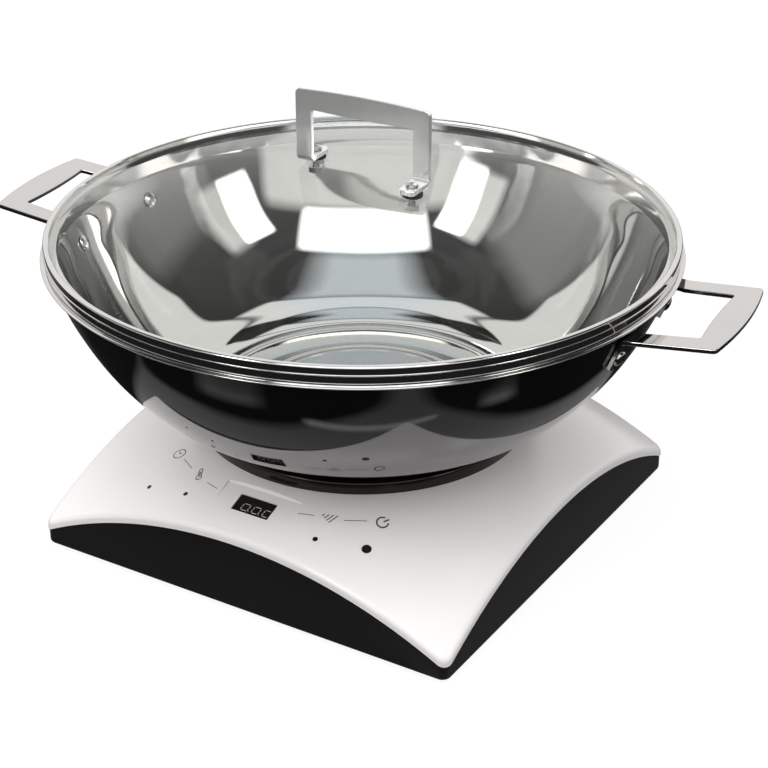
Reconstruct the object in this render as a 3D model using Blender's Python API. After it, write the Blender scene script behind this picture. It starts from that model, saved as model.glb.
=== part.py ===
"""Portable induction hob with a lidded wok: metres, +Z up, floor at z = 0, the control panel towards -Y.

The origin is the middle of the square hob, on the surface that its four feet stand on.
"""

import math

import bmesh
import bpy
from mathutils import Matrix, Vector

# Clearances between pieces
GAP = 0.0003
HOLE_CLEARANCE = 0.0004

# Hob: a square of 270 mm whose cover is one spherical dome, cut square
HOB_HALF = 0.135
HOB_CORNER = 0.006
SIDE_STEPS = 10
CORNER_STEPS = 3
DOME_RADIUS = 0.3115
SEAM_CENTRE_Z = -0.2356
LIP_HEIGHT = 0.005
LIP_FILLET = 0.0025
COVER_WALL = 0.003
LIP_WIDTH = 0.0028
WALL_INSET = 0.0006
SHADOW_GAP = 0.0009
FLOOR_Z = 0.003
FLOOR_THICKNESS = 0.003
FLOOR_FILLET = 0.0025
HOUSING_WALL = 0.0026
SPIGOT_HEIGHT = 0.0024
SPIGOT_WIDTH = 0.0014

# Cooking plate and what lies under it
RING_RADIUS = 0.0965
RING_TOP_Z = 0.0730
COVER_OPENING = 0.0935
SPIGOT_RADIUS = 0.0925
PLATE_RADIUS = 0.0905
PLATE_TOP_Z = 0.0732
PLATE_THICKNESS = 0.0040
COIL_INNER = 0.022
COIL_OUTER = 0.080
COIL_BOTTOM_Z = 0.0628
FERRITE_COUNT = 6

# Wok
WOK_BOTTOM_Z = PLATE_TOP_Z + GAP
WOK_WALL = 0.0016
WOK_RIM_RADIUS = 0.1805
WOK_RIM_Z = 0.1755
TURN_STEPS = 44
BOWL_STEPS = 48
INNER_STEPS = 24

# Wok side handles, in a frame turned about the wok's axis
HANDLE_TURN = math.radians(5.5)
HANDLE_PLATE = 0.0025
HANDLE_SLOPE = 0.099
HANDLE_REACH = 0.221
HANDLE_HALF = 0.0419
HANDLE_ROOT_HALF = 0.0432
ARM_START = 0.1795
HANDLE_Z = 0.169
HANDLE_Z_AT = 0.180
GRIP_INNER = 0.2085
GRIP_INNER_HALF = 0.0293
ROOT_INNER_HALF = 0.0308
GRIP_BULGE = 0.0035
GRIP_INNER_BULGE = 0.0012
TAB_ANGLE = math.radians(12.4)
TAB_WIDTH = 0.0122
TAB_BOTTOM_Z = 0.1485
RIVET_ANGLE = math.radians(12.6)
RIVET_Z = 0.1560
RIVET_SHANK = 0.0026

# Lid
LID_RING_RADIUS = 0.1784
LID_RING_TOP_Z = 0.1856
LID_GLASS_RADIUS = 0.1750
LID_GLASS_THICKNESS = 0.0040
LID_APEX_Z = 0.2155
LID_SPHERE = 0.500
LID_HANDLE_TURN = math.radians(3.0)
LID_HANDLE_HALF = 0.042
LID_HANDLE_TOP_Z = 0.2566
LID_HANDLE_BULGE = 0.00125
LID_HANDLE_PLATE = 0.003
LID_LEG_WIDTH = 0.010
LID_BAR_HEIGHT = 0.0115
LID_FOOT_Z = 0.2162
LID_FOOT_LENGTH = 0.0195
LID_SCREW_X = 0.0372
LID_SCREW_Y = 0.0120
LID_SCREW_RADIUS = 0.0020

# Control panel: a flat cut into the dome's front
PANEL_HALF_WIDTH = 0.0244
PANEL_REAR_Y = -0.102
PANEL_FRONT_Y = -0.127
PANEL_SLOPE = math.atan(0.328)
PANEL_CUT_HEIGHT = 0.010
WINDOW_SIZE = (0.0234, 0.0114)
WINDOW_CENTRE_Y = -0.1135
TOUCH_SPOTS = {
    "clock": (-0.0712, -0.1153, 0.00135),
    "temperature": (-0.0442, -0.1171, 0.00135),
    "level": (0.0432, -0.1186, 0.00145),
    "power": (0.0704, -0.1100, 0.0027),
}

# Inside the hob
FAN_CENTRE = (0.055, -0.030)
FAN_SIZE = 0.080
FAN_HEIGHT = 0.015
FAN_BORE = 0.0375
INTAKE_WIDTH = 0.005
INTAKE_SPACING = 0.009
INTAKE_REACH = 0.033
FAN_HUB = 0.014
FAN_BLADES = 7
BOARD_Z = 0.0123
BOARD_THICKNESS = 0.0016
BOARD_SIZE = (0.190, 0.090)
BOARD_CENTRE = (0.0, 0.059)
SINK_SIZE = (0.070, 0.070)
SINK_CENTRE = (0.055, 0.057)
FOOT_INSET = 0.025
SCREW_PLACE = (0.118, 0.084)
POST_RADIUS = 0.0045
POST_LENGTH = 0.010
BOSS_RADIUS = 0.0052
SCREW_HEAD_RADIUS = 0.0032
SCREW_SEAT_Z = 0.020
SCREW_TOP_Z = 0.0395
GLAND_PLACE = (-0.085, 0.019)


def material(name, colour, roughness, metallic=0.0, alpha=1.0):
    """A Principled material, made once for each name."""
    made = bpy.data.materials.get(name)
    if made:
        return made
    made = bpy.data.materials.new(name)
    made.use_nodes = True
    shader = made.node_tree.nodes["Principled BSDF"]
    shader.inputs["Base Color"].default_value = (*colour, 1.0)
    shader.inputs["Roughness"].default_value = roughness
    shader.inputs["Metallic"].default_value = metallic
    shader.inputs["Alpha"].default_value = alpha
    return made


def cover_white():
    return material("cover_white", (0.86, 0.85, 0.85), 0.2)


def housing_black():
    return material("housing_black", (0.02, 0.02, 0.02), 0.4)


def ceramic_black():
    return material("ceramic_black", (0.01, 0.01, 0.012), 0.08)


def enamel_black():
    return material("enamel_black", (0.012, 0.012, 0.014), 0.12)


def satin_steel():
    return material("satin_steel", (0.66, 0.64, 0.62), 0.3, 1.0)


def bright_steel():
    return material("bright_steel", (0.75, 0.75, 0.75), 0.12, 1.0)


def clear_glass():
    return material("clear_glass", (0.9, 0.93, 0.93), 0.03, 0.0, 0.3)


def aluminium():
    return material("aluminium", (0.7, 0.7, 0.71), 0.4, 1.0)


def copper():
    return material("copper", (0.72, 0.38, 0.2), 0.35, 1.0)


def board_green():
    return material("board_green", (0.03, 0.16, 0.08), 0.5)


def rubber():
    return material("rubber", (0.03, 0.03, 0.03), 0.8)


def mica():
    return material("mica", (0.7, 0.66, 0.58), 0.6)


def finish(name, mesh_data, look):
    """Turns a closed bmesh into a named object, with its faces outwards and round faces smooth."""
    mesh_data.normal_update()
    bmesh.ops.recalc_face_normals(mesh_data, faces=mesh_data.faces)
    mesh = bpy.data.meshes.new(name)
    mesh_data.to_mesh(mesh)
    mesh_data.free()
    mesh.materials.append(look)
    mesh.shade_smooth()
    mesh.set_sharp_from_angle(angle=math.radians(35))
    made = bpy.data.objects.new(name, mesh)
    bpy.context.collection.objects.link(made)
    return made


def bridge(mesh_data, rings, closed):
    """Faces between neighbouring rings of points, which may be one point at a pole."""
    pairs = list(zip(rings, rings[1:]))
    if closed:
        pairs.append((rings[-1], rings[0]))
    for low, high in pairs:
        count = max(len(low), len(high))
        for i in range(count):
            j = (i + 1) % count
            corners = [low[i % len(low)], low[j % len(low)], high[j % len(high)], high[i % len(high)]]
            face = list(dict.fromkeys(corners))
            mesh_data.faces.new(face)


def turned(name, profile, look, steps=TURN_STEPS, place=None):
    """A body turned about Z from a profile of (radius, z) points, closed on itself or from pole to pole."""
    mesh_data = bmesh.new()
    rings = []
    for radius, z in profile:
        count = steps if radius > 0 else 1
        angles = [2 * math.pi * i / count for i in range(count)]
        rings.append([mesh_data.verts.new((radius * math.cos(a), radius * math.sin(a), z)) for a in angles])
    bridge(mesh_data, rings, closed=profile[0][0] > 0)
    if place:
        mesh_data.transform(place)
    return finish(name, mesh_data, look)


def lofted(name, rings, look, closed):
    """A body lofted through rings of points; one that isn't closed on itself gets flat end faces."""
    mesh_data = bmesh.new()
    made = [[mesh_data.verts.new(point) for point in ring] for ring in rings]
    bridge(mesh_data, made, closed)
    if not closed:
        mesh_data.faces.new(made[0])
        mesh_data.faces.new(made[-1])
    return finish(name, mesh_data, look)


def block(name, size, place, look, bevel=0.0):
    """A box of the given size, centred on its place, with an optional bevel."""
    mesh_data = bmesh.new()
    bmesh.ops.create_cube(mesh_data, size=1.0, matrix=Matrix.Diagonal((*size, 1.0)))
    if bevel:
        bmesh.ops.bevel(mesh_data, geom=list(mesh_data.edges), offset=bevel, segments=1, affect="EDGES")
    mesh_data.transform(place)
    return finish(name, mesh_data, look)


def pin(radius, low, high, place=None, steps=16):
    """A plain cylinder about Z between two heights, used as a cutter or joined to a casting."""
    profile = [(0.0, high), (radius, high), (radius, low), (0.0, low)]
    return turned("pin", profile, housing_black(), steps, place)


def combine(target, others, operation):
    """Cuts the others from the target or joins them to it, then removes them."""
    for other in others:
        modifier = target.modifiers.new("combine", "BOOLEAN")
        modifier.operation = operation
        modifier.object = other
    bpy.context.view_layer.update()
    evaluated = target.evaluated_get(bpy.context.evaluated_depsgraph_get())
    mesh = bpy.data.meshes.new_from_object(evaluated)
    target.modifiers.clear()
    target.data = mesh
    mesh.set_sharp_from_angle(angle=math.radians(35))
    for other in others:
        bpy.data.objects.remove(other)
    return target


def cut(target, cutters):
    return combine(target, cutters, "DIFFERENCE")


def join(target, others):
    return combine(target, others, "UNION")


def at(x, y, z=0.0):
    return Matrix.Translation((x, y, z))


def seam_z(x, y):
    """Height of the seam between the white cover and the black walls, on the dome's sphere."""
    return SEAM_CENTRE_Z + math.sqrt(DOME_RADIUS**2 - x * x - y * y)


def dome_z(x, y):
    return seam_z(x, y) + LIP_HEIGHT


def outline(half):
    """Stations round a square with rounded corners, in the same order for every size."""
    corner = max(HOB_CORNER - (HOB_HALF - half), 0.0015)
    straight = half - corner
    points = []
    for quarter in range(4):
        turn = quarter * math.pi / 2
        local = []
        for i in range(CORNER_STEPS + 1):
            angle = math.pi / 2 * i / CORNER_STEPS
            local.append((straight + corner * math.cos(angle), straight + corner * math.sin(angle)))
        for i in range(1, SIDE_STEPS):
            local.append((straight - 2 * straight * i / SIDE_STEPS, half))
        for x, y in local:
            points.append((x * math.cos(turn) - y * math.sin(turn), x * math.sin(turn) + y * math.cos(turn)))
    return points


SEAM = [seam_z(x, y) for x, y in outline(HOB_HALF)]


def seam_ring(half, rise):
    """A ring that follows the arched seam at a fixed distance above it."""
    return [(x, y, z + rise) for (x, y), z in zip(outline(half), SEAM)]


def level_ring(half, z):
    return [(x, y, z) for x, y in outline(half)]


def dome_ring(half, share, rise):
    """A ring on the dome, between the round opening (share 0) and the square outline (share 1)."""
    points = []
    for x, y in outline(half):
        away = math.hypot(x, y)
        scale = (COVER_OPENING + share * (away - COVER_OPENING)) / away
        points.append((x * scale, y * scale, dome_z(x * scale, y * scale) + rise))
    return points


def panel_frame():
    """The control panel's flat: its origin at the window's centre, its own Z out of the cover."""
    front_z = dome_z(0.0, PANEL_FRONT_Y)
    z = front_z + (WINDOW_CENTRE_Y - PANEL_FRONT_Y) * math.tan(PANEL_SLOPE)
    return at(0.0, WINDOW_CENTRE_Y, z) @ Matrix.Rotation(PANEL_SLOPE, 4, "X")


def dome_frame(x, y):
    """A frame on the dome's surface with its Z along the surface normal."""
    z = dome_z(x, y)
    normal = Vector((x, y, z - SEAM_CENTRE_Z - LIP_HEIGHT))
    return at(x, y, z) @ normal.to_track_quat("Z", "Y").to_matrix().to_4x4()


def corner_places(x, y):
    return [(x, y), (-x, y), (-x, -y), (x, -y)]


def post_low_z():
    """Height of the foot of the cover's screw posts, which stand on the housing's bosses."""
    return dome_z(*SCREW_PLACE) - 0.6 * COVER_WALL - POST_LENGTH


def top_cover():
    """The white moulded cover: dome, lip, round opening, control panel, posts and touch holes."""
    inner_half = HOB_HALF - LIP_WIDTH
    rings = [
        seam_ring(HOB_HALF, 0.0),
        seam_ring(HOB_HALF, LIP_HEIGHT - LIP_FILLET),
        seam_ring(HOB_HALF - 0.3 * LIP_FILLET, LIP_HEIGHT - 0.3 * LIP_FILLET),
        *[dome_ring(HOB_HALF - LIP_FILLET, share, 0.0) for share in (1.0, 0.75, 0.5, 0.25, 0.0)],
        *[dome_ring(inner_half, share, -COVER_WALL) for share in (0.0, 0.5, 1.0)],
        seam_ring(inner_half, 0.0),
    ]
    cover = lofted("top_cover", rings, cover_white(), closed=True)

    posts = []
    for x, y in corner_places(*SCREW_PLACE):
        posts.append(pin(POST_RADIUS, post_low_z(), dome_z(x, y) - 0.6 * COVER_WALL, at(x, y), 12))
    for side in (-1, 1):
        x = side * 0.054
        y = WINDOW_CENTRE_Y - 0.001
        posts.append(pin(0.003, board_top(y) + 0.002, dome_z(x, y) - 0.6 * COVER_WALL, at(x, y), 8))
    join(cover, posts)

    frame = panel_frame()
    depth = (PANEL_REAR_Y - WINDOW_CENTRE_Y) / math.cos(PANEL_SLOPE)
    reach = depth + (WINDOW_CENTRE_Y - PANEL_FRONT_Y) / math.cos(PANEL_SLOPE) + 0.002
    flat_size = (2 * PANEL_HALF_WIDTH, reach, PANEL_CUT_HEIGHT)
    flat_place = frame @ at(0.0, depth - reach / 2, PANEL_CUT_HEIGHT / 2)
    window_size = (WINDOW_SIZE[0] + 2 * GAP, WINDOW_SIZE[1] + 2 * GAP, 0.012)
    cutters = [
        block("panel_flat", flat_size, flat_place, cover_white()),
        block("window_hole", window_size, frame, cover_white()),
    ]
    for x, y, radius in TOUCH_SPOTS.values():
        cutters.append(pin(radius + GAP, -0.006, 0.004, dome_frame(x, y), 12))
    for x, y in corner_places(*SCREW_PLACE):
        cutters.append(pin(0.0016 + HOLE_CLEARANCE, 0.0, SCREW_TOP_Z + 0.001, at(x, y), 8))
    return cut(cover, cutters)


def wall_slots(count, spacing, size, place):
    """Cutters for a row of upright air slots."""
    made = []
    for i in range(count):
        shift = (i - (count - 1) / 2) * spacing
        made.append(block("slot", size, place @ at(shift, 0.0), housing_black()))
    return made


def lower_housing():
    """The black moulded tray: arched walls with a spigot for the cover, rounded bottom, slots and bosses."""
    outer = HOB_HALF - WALL_INSET
    lip_inner = HOB_HALF - LIP_WIDTH
    shoulder = outer - 0.0012
    spigot_outer = lip_inner - GAP
    spigot_inner = spigot_outer - SPIGOT_WIDTH
    inner = outer - HOUSING_WALL
    floor_top = FLOOR_Z + FLOOR_THICKNESS
    rings = [
        level_ring(outer - FLOOR_FILLET, FLOOR_Z),
        level_ring(outer - 0.3 * FLOOR_FILLET, FLOOR_Z + 0.3 * FLOOR_FILLET),
        level_ring(outer, FLOOR_Z + FLOOR_FILLET),
        seam_ring(outer, -SHADOW_GAP),
        seam_ring(shoulder, -SHADOW_GAP),
        seam_ring(shoulder, -GAP),
        seam_ring(spigot_outer, -GAP),
        seam_ring(spigot_outer, SPIGOT_HEIGHT),
        seam_ring(spigot_inner, SPIGOT_HEIGHT),
        seam_ring(spigot_inner, -0.0015),
        seam_ring(inner, -0.0030),
        level_ring(inner, floor_top),
    ]
    housing = lofted("lower_housing", rings, housing_black(), closed=False)

    sunk = floor_top - 0.001
    posts = []
    for x, y in corner_places(BOARD_SIZE[0] / 2 - 0.006, BOARD_SIZE[1] / 2 - 0.006):
        posts.append(pin(0.0035, sunk, BOARD_Z - GAP, at(x + BOARD_CENTRE[0], y + BOARD_CENTRE[1]), 8))
    for x, y in corner_places(*SCREW_PLACE):
        posts.append(pin(BOSS_RADIUS, sunk, post_low_z() - GAP, at(x, y), 12))
    join(housing, posts)

    cutters = []
    for x, y in corner_places(*SCREW_PLACE):
        cutters.append(pin(0.0016 + HOLE_CLEARANCE, 0.0, SCREW_TOP_Z, at(x, y), 8))
        cutters.append(pin(SCREW_HEAD_RADIUS + HOLE_CLEARANCE, 0.0, SCREW_SEAT_Z, at(x, y), 12))
    for x, y in corner_places(HOB_HALF - FOOT_INSET, HOB_HALF - FOOT_INSET):
        cutters.append(pin(0.0032 + GAP, 0.0, 0.010, at(x, y), 10))
    for i in range(7):
        shift = (i - 3) * INTAKE_SPACING
        length = 2 * math.sqrt(INTAKE_REACH**2 - shift**2)
        place = at(FAN_CENTRE[0] + shift, FAN_CENTRE[1], FLOOR_Z)
        cutters.append(block("intake", (INTAKE_WIDTH, length, 0.010), place, housing_black()))
    wall_place = at(SINK_CENTRE[0], HOB_HALF - 0.002, 0.023)
    cutters += wall_slots(8, 0.008, (0.0032, 0.012, 0.018), wall_place)
    gland_turn = at(GLAND_PLACE[0], HOB_HALF, GLAND_PLACE[1]) @ Matrix.Rotation(math.pi / 2, 4, "X")
    cutters.append(pin(0.0052 + GAP, -0.010, 0.010, gland_turn, 10))
    return cut(housing, cutters)


def plate_ring():
    """The black ring round the cooking plate: its skirt sits on the dome, its spigot in the opening."""
    ledge_z = PLATE_TOP_Z - PLATE_THICKNESS - GAP
    pocket = PLATE_RADIUS + GAP
    profile = [
        (RING_RADIUS, dome_z(RING_RADIUS, 0) + GAP),
        (RING_RADIUS, RING_TOP_Z - 0.001),
        (RING_RADIUS - 0.001, RING_TOP_Z),
        (pocket, RING_TOP_Z),
        (pocket, ledge_z),
        (0.0860, ledge_z),
        (0.0860, ledge_z - 0.0024),
        (0.0907, ledge_z - 0.0024),
        (0.0907, 0.0600),
        (SPIGOT_RADIUS, 0.0600),
        (SPIGOT_RADIUS, dome_z(SPIGOT_RADIUS, 0) + GAP),
    ]
    return turned("plate_ring", profile, housing_black())


def glass_plate():
    edge = 0.0006
    bottom = PLATE_TOP_Z - PLATE_THICKNESS
    profile = [
        (0.0, PLATE_TOP_Z),
        (PLATE_RADIUS - edge, PLATE_TOP_Z),
        (PLATE_RADIUS, PLATE_TOP_Z - edge),
        (PLATE_RADIUS, bottom),
        (0.0, bottom),
    ]
    return turned("glass_plate", profile, ceramic_black())


def coil_stack():
    """Mica sheet, coil, its former, the ferrite bars and the sensor, from the plate downwards."""
    sheet_top = PLATE_TOP_Z - PLATE_THICKNESS - GAP - GAP
    sheet = [(0.0, sheet_top), (0.0854, sheet_top), (0.0854, sheet_top - 0.0005), (0.0, sheet_top - 0.0005)]
    turned("insulation_sheet", sheet, mica(), INNER_STEPS)

    coil_top = sheet_top - 0.0005 - GAP
    coil = [
        (COIL_INNER, coil_top - 0.001),
        (COIL_INNER + 0.001, coil_top),
        (COIL_OUTER - 0.001, coil_top),
        (COIL_OUTER, coil_top - 0.001),
        (COIL_OUTER, COIL_BOTTOM_Z),
        (COIL_INNER, COIL_BOTTOM_Z),
    ]
    turned("induction_coil", coil, copper(), INNER_STEPS)

    former_top = COIL_BOTTOM_Z - GAP
    former = [
        (0.0094, former_top),
        (0.0834, former_top),
        (0.0834, 0.0679),
        (0.0854, 0.0679),
        (0.0854, former_top),
        (0.0903, former_top - 0.0005),
        (0.0903, 0.0575),
        (0.0094, 0.0575),
    ]
    turned("coil_former", former, housing_black(), INNER_STEPS)

    for i in range(FERRITE_COUNT):
        turn = Matrix.Rotation(2 * math.pi * i / FERRITE_COUNT, 4, "Z")
        place = turn @ at(0.050, 0.0, 0.0575 - GAP - 0.0021)
        block(f"ferrite_{i + 1}", (0.050, 0.012, 0.0042), place, housing_black())

    sensor = [(0.0, coil_top), (0.0088, coil_top), (0.0088, 0.0590), (0.0040, 0.0580), (0.0, 0.0580)]
    turned("temperature_sensor", sensor, aluminium(), 16)


def board_top(y):
    """Height of the control board, which lies parallel to the panel, 15 mm under it."""
    front_z = dome_z(0.0, PANEL_FRONT_Y)
    panel_z = front_z + (y - PANEL_FRONT_Y) * math.tan(PANEL_SLOPE)
    return panel_z - 0.015 / math.cos(PANEL_SLOPE)


def controls():
    """Display window and module, the board under them and the four touch pins."""
    frame = panel_frame()
    look = ceramic_black()
    window = (*WINDOW_SIZE, 0.0014)
    block("display_window", window, frame @ at(0.0, 0.0, -0.0008), look, 0.0002)
    module_top = -0.0015 - GAP
    module_low = -0.015 + GAP
    module = (WINDOW_SIZE[0], WINDOW_SIZE[1], module_top - module_low)
    block("display_module", module, frame @ at(0.0, 0.0, (module_top + module_low) / 2), housing_black())
    board_place = frame @ at(0.0, 0.0, -0.015 - BOARD_THICKNESS / 2)
    block("control_board", (0.150, 0.020, BOARD_THICKNESS), board_place, board_green())
    for label, (x, y, radius) in TOUCH_SPOTS.items():
        profile = [(0.0, 0.0), (radius, 0.0), (radius, -0.0055), (0.0, -0.0055)]
        turned(f"touch_spot_{label}", profile, look, 16, dome_frame(x, y))


def power_board():
    """The power board with its capacitor, choke and relay."""
    centre = at(BOARD_CENTRE[0], BOARD_CENTRE[1], BOARD_Z + BOARD_THICKNESS / 2)
    board = block("power_board", (*BOARD_SIZE, BOARD_THICKNESS), centre, board_green())
    top = BOARD_Z + BOARD_THICKNESS - 0.0005
    parts = [
        block("capacitor", (0.030, 0.016, 0.020), at(-0.070, 0.075, top + 0.010), housing_black(), 0.001),
        pin(0.013, top, top + 0.016, at(-0.035, 0.045), 16),
        block("relay", (0.018, 0.014, 0.015), at(-0.072, 0.040, top + 0.0075), housing_black(), 0.001),
    ]
    return join(board, parts)


def heat_sink():
    """An extruded aluminium sink: a base with eight fins along the fan's air."""
    base_z = BOARD_Z + BOARD_THICKNESS + GAP
    half = SINK_SIZE[0] / 2
    fins = 8
    fin = 0.0016
    pitch = (SINK_SIZE[0] - fin) / (fins - 1)
    outline_points = [(-half, base_z), (half, base_z)]
    for i in reversed(range(fins)):
        x = -half + i * pitch
        outline_points += [(x + fin, base_z + 0.022), (x, base_z + 0.022)]
        if i:
            outline_points += [(x, base_z + 0.004), (x - pitch + fin, base_z + 0.004)]
    mesh_data = bmesh.new()
    y = SINK_CENTRE[1] - SINK_SIZE[1] / 2
    corners = [mesh_data.verts.new((SINK_CENTRE[0] + px, y, pz)) for px, pz in outline_points]
    face = mesh_data.faces.new(corners)
    pushed = bmesh.ops.extrude_face_region(mesh_data, geom=[face])
    moved = [item for item in pushed["geom"] if isinstance(item, bmesh.types.BMVert)]
    bmesh.ops.translate(mesh_data, verts=moved, vec=(0.0, SINK_SIZE[1], 0.0))
    return finish("heat_sink", mesh_data, aluminium())


def cooling_fan():
    """A flat axial fan on the floor: a square frame with three struts, and the rotor on its own axis."""
    floor = FLOOR_Z + FLOOR_THICKNESS + GAP
    centre = at(*FAN_CENTRE, floor)
    size = (FAN_SIZE, FAN_SIZE, FAN_HEIGHT)
    frame = block("fan_frame", size, centre @ at(0.0, 0.0, FAN_HEIGHT / 2), housing_black(), 0.001)
    cut(frame, [pin(FAN_BORE, -0.002, FAN_HEIGHT + 0.002, centre, 32)])
    struts = [pin(FAN_HUB, 0.0, 0.0025, centre, 16)]
    for i in range(3):
        turn = Matrix.Rotation(2 * math.pi * i / 3, 4, "Z")
        strut_place = centre @ turn @ at(0.025, 0.0, 0.0012)
        struts.append(block("strut", (0.030, 0.004, 0.0022), strut_place, housing_black()))
    join(frame, struts)

    rotor_low = 0.0032
    rotor_high = 0.0138
    hub = [
        (0.0, rotor_high),
        (FAN_HUB - 0.001, rotor_high),
        (FAN_HUB, rotor_high - 0.001),
        (FAN_HUB, rotor_low),
        (0.0, rotor_low),
    ]
    rotor = turned("fan_rotor", hub, housing_black(), 21)
    blades = []
    for i in range(FAN_BLADES):
        turn = Matrix.Rotation(2 * math.pi * i / FAN_BLADES, 4, "Z")
        blades.append(fan_blade(turn, rotor_low, rotor_high))
    join(rotor, blades)
    rotor.location = (FAN_CENTRE[0], FAN_CENTRE[1], floor)


def fan_blade(turn, low, high):
    """One pitched blade, lofted from the hub outwards, with less pitch at its tip."""
    middle = (low + high) / 2
    rings = []
    for radius, pitch, chord in ((0.0130, 42, 0.0125), (0.0240, 33, 0.0150), (0.0352, 26, 0.0170)):
        along = Vector((0.0, math.cos(math.radians(pitch)), math.sin(math.radians(pitch)))) * chord / 2
        through = Vector((0.0, -math.sin(math.radians(pitch)), math.cos(math.radians(pitch)))) * 0.0006
        centre = Vector((radius, 0.0, middle))
        corners = [centre - along - through, centre + along - through]
        corners += [centre + along + through, centre - along + through]
        rings.append([turn @ corner for corner in corners])
    return lofted("blade", rings, housing_black(), closed=False)


def small_hob_parts():
    """Feet pushed into the floor, screws up into the cover's posts, and the cord's bush."""
    floor_top = FLOOR_Z + FLOOR_THICKNESS
    foot = [
        (0.0, 0.0),
        (0.0092, 0.0),
        (0.0100, 0.0008),
        (0.0100, FLOOR_Z - GAP),
        (0.0032, FLOOR_Z - GAP),
        (0.0032, floor_top + GAP),
        (0.0041, floor_top + GAP),
        (0.0030, floor_top + 0.0022),
        (0.0, floor_top + 0.0022),
    ]
    for i, (x, y) in enumerate(corner_places(HOB_HALF - FOOT_INSET, HOB_HALF - FOOT_INSET)):
        turned(f"foot_{i + 1}", foot, rubber(), 10, at(x, y))

    seat = SCREW_SEAT_Z - GAP
    screw = [
        (0.0, seat - 0.0018),
        (SCREW_HEAD_RADIUS - 0.0002, seat - 0.0018),
        (SCREW_HEAD_RADIUS, seat),
        (0.0016, seat),
        (0.0016, SCREW_TOP_Z),
        (0.0, SCREW_TOP_Z),
    ]
    for i, (x, y) in enumerate(corner_places(*SCREW_PLACE)):
        turned(f"housing_screw_{i + 1}", screw, bright_steel(), 8, at(x, y))

    gland_place = at(GLAND_PLACE[0], HOB_HALF - WALL_INSET, GLAND_PLACE[1])
    gland_turn = gland_place @ Matrix.Rotation(-math.pi / 2, 4, "X")
    gland = [
        (0.0034, 0.0022),
        (0.0066, 0.0022),
        (0.0074, GAP),
        (0.0052, GAP),
        (0.0052, -HOUSING_WALL - GAP),
        (0.0060, -HOUSING_WALL - GAP),
        (0.0056, -0.0055),
        (0.0034, -0.0055),
    ]
    turned("cord_gland", gland, rubber(), 10, gland_turn)


WOK_PROFILE = [
    (0.0915, 0.0735),
    (0.0929, 0.0742),
    (0.1003, 0.0802),
    (0.1203, 0.0901),
    (0.1383, 0.1061),
    (0.1541, 0.1260),
    (0.1674, 0.1499),
    (0.1772, 0.1737),
]


def wok_wall_radius(z):
    """Radius of the wok's outer wall at a height, between the points of its profile."""
    for (r0, z0), (r1, z1) in zip(WOK_PROFILE, WOK_PROFILE[1:]):
        if z0 <= z <= z1:
            return r0 + (r1 - r0) * (z - z0) / (z1 - z0)
    return WOK_PROFILE[-1][0]


def wok_wall_normal(z):
    """Outward normal of the wall as (radial, z), near a height on its upper part."""
    (r0, z0), (r1, z1) = WOK_PROFILE[-2:]
    if z < z0:
        (r0, z0), (r1, z1) = WOK_PROFILE[-3:-1]
    length = math.hypot(r1 - r0, z1 - z0)
    return ((z1 - z0) / length, -(r1 - r0) / length)


def wall_offset(profile, distance):
    """The profile moved inwards along its normals, for the wall's inner side."""
    moved = []
    for i, (radius, z) in enumerate(profile):
        r0, z0 = profile[max(i - 1, 0)]
        r1, z1 = profile[min(i + 1, len(profile) - 1)]
        length = math.hypot(r1 - r0, z1 - z0)
        moved.append((radius - (z1 - z0) / length * distance, z + (r1 - r0) / length * distance))
    return moved


def wok_bowl():
    """Pressed bowl with a thick flat base, two steps in its floor and a narrow rim flange."""
    inside = wall_offset(WOK_PROFILE, WOK_WALL)
    floor_z = 0.0775
    flange = [
        (WOK_RIM_RADIUS, WOK_RIM_Z - 0.0016),
        (WOK_RIM_RADIUS, WOK_RIM_Z - 0.0004),
        (0.1772, WOK_RIM_Z),
    ]
    floor = [(0.0870, floor_z), (0.0622, floor_z), (0.0610, floor_z - 0.0006)]
    profile = [(0.0, WOK_BOTTOM_Z), *WOK_PROFILE, *flange, *reversed(inside[2:]), *floor]
    profile.append((0.0, floor_z - 0.0006))
    bowl = turned("wok_bowl", profile, enamel_black(), BOWL_STEPS)
    hole = RIVET_SHANK + HOLE_CLEARANCE
    holes = [pin(hole, -0.012, 0.012, rivet_frame(*place), 10) for place in rivet_places()]
    return cut(bowl, holes)


def rivet_places():
    """Each rivet as its side (0 right, 1 left) and the angle from the handle's middle."""
    return [(0, RIVET_ANGLE), (0, -RIVET_ANGLE), (1, RIVET_ANGLE), (1, -RIVET_ANGLE)]


def rivet_frame(side, angle):
    """A frame on the wok's outer wall at a rivet, with its Z straight out of the wall."""
    heading = HANDLE_TURN + side * math.pi + angle
    across, rise = wok_wall_normal(RIVET_Z)
    normal = Vector((math.cos(heading) * across, math.sin(heading) * across, rise))
    radius = wok_wall_radius(RIVET_Z)
    place = at(radius * math.cos(heading), radius * math.sin(heading), RIVET_Z)
    return place @ normal.to_track_quat("Z", "Y").to_matrix().to_4x4()


def wok_rivets():
    """Domed heads inside the bowl, and flatter set heads on the handle's tabs."""
    inner_seat = -WOK_WALL - 0.0006
    outer_seat = HANDLE_PLATE + 0.0007
    profile = [
        (0.0, inner_seat - 0.0020),
        (0.0030, inner_seat - 0.0016),
        (0.0048, inner_seat - 0.0006),
        (0.0050, inner_seat),
        (RIVET_SHANK, inner_seat),
        (RIVET_SHANK, outer_seat),
        (0.0044, outer_seat),
        (0.0040, outer_seat + 0.0012),
        (0.0022, outer_seat + 0.0020),
        (0.0, outer_seat + 0.0022),
    ]
    for i, place in enumerate(rivet_places()):
        turned(f"wok_rivet_{i + 1}", profile, satin_steel(), 10, rivet_frame(*place))


def handle_top_z(u):
    return HANDLE_Z + HANDLE_SLOPE * (u - HANDLE_Z_AT)


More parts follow.
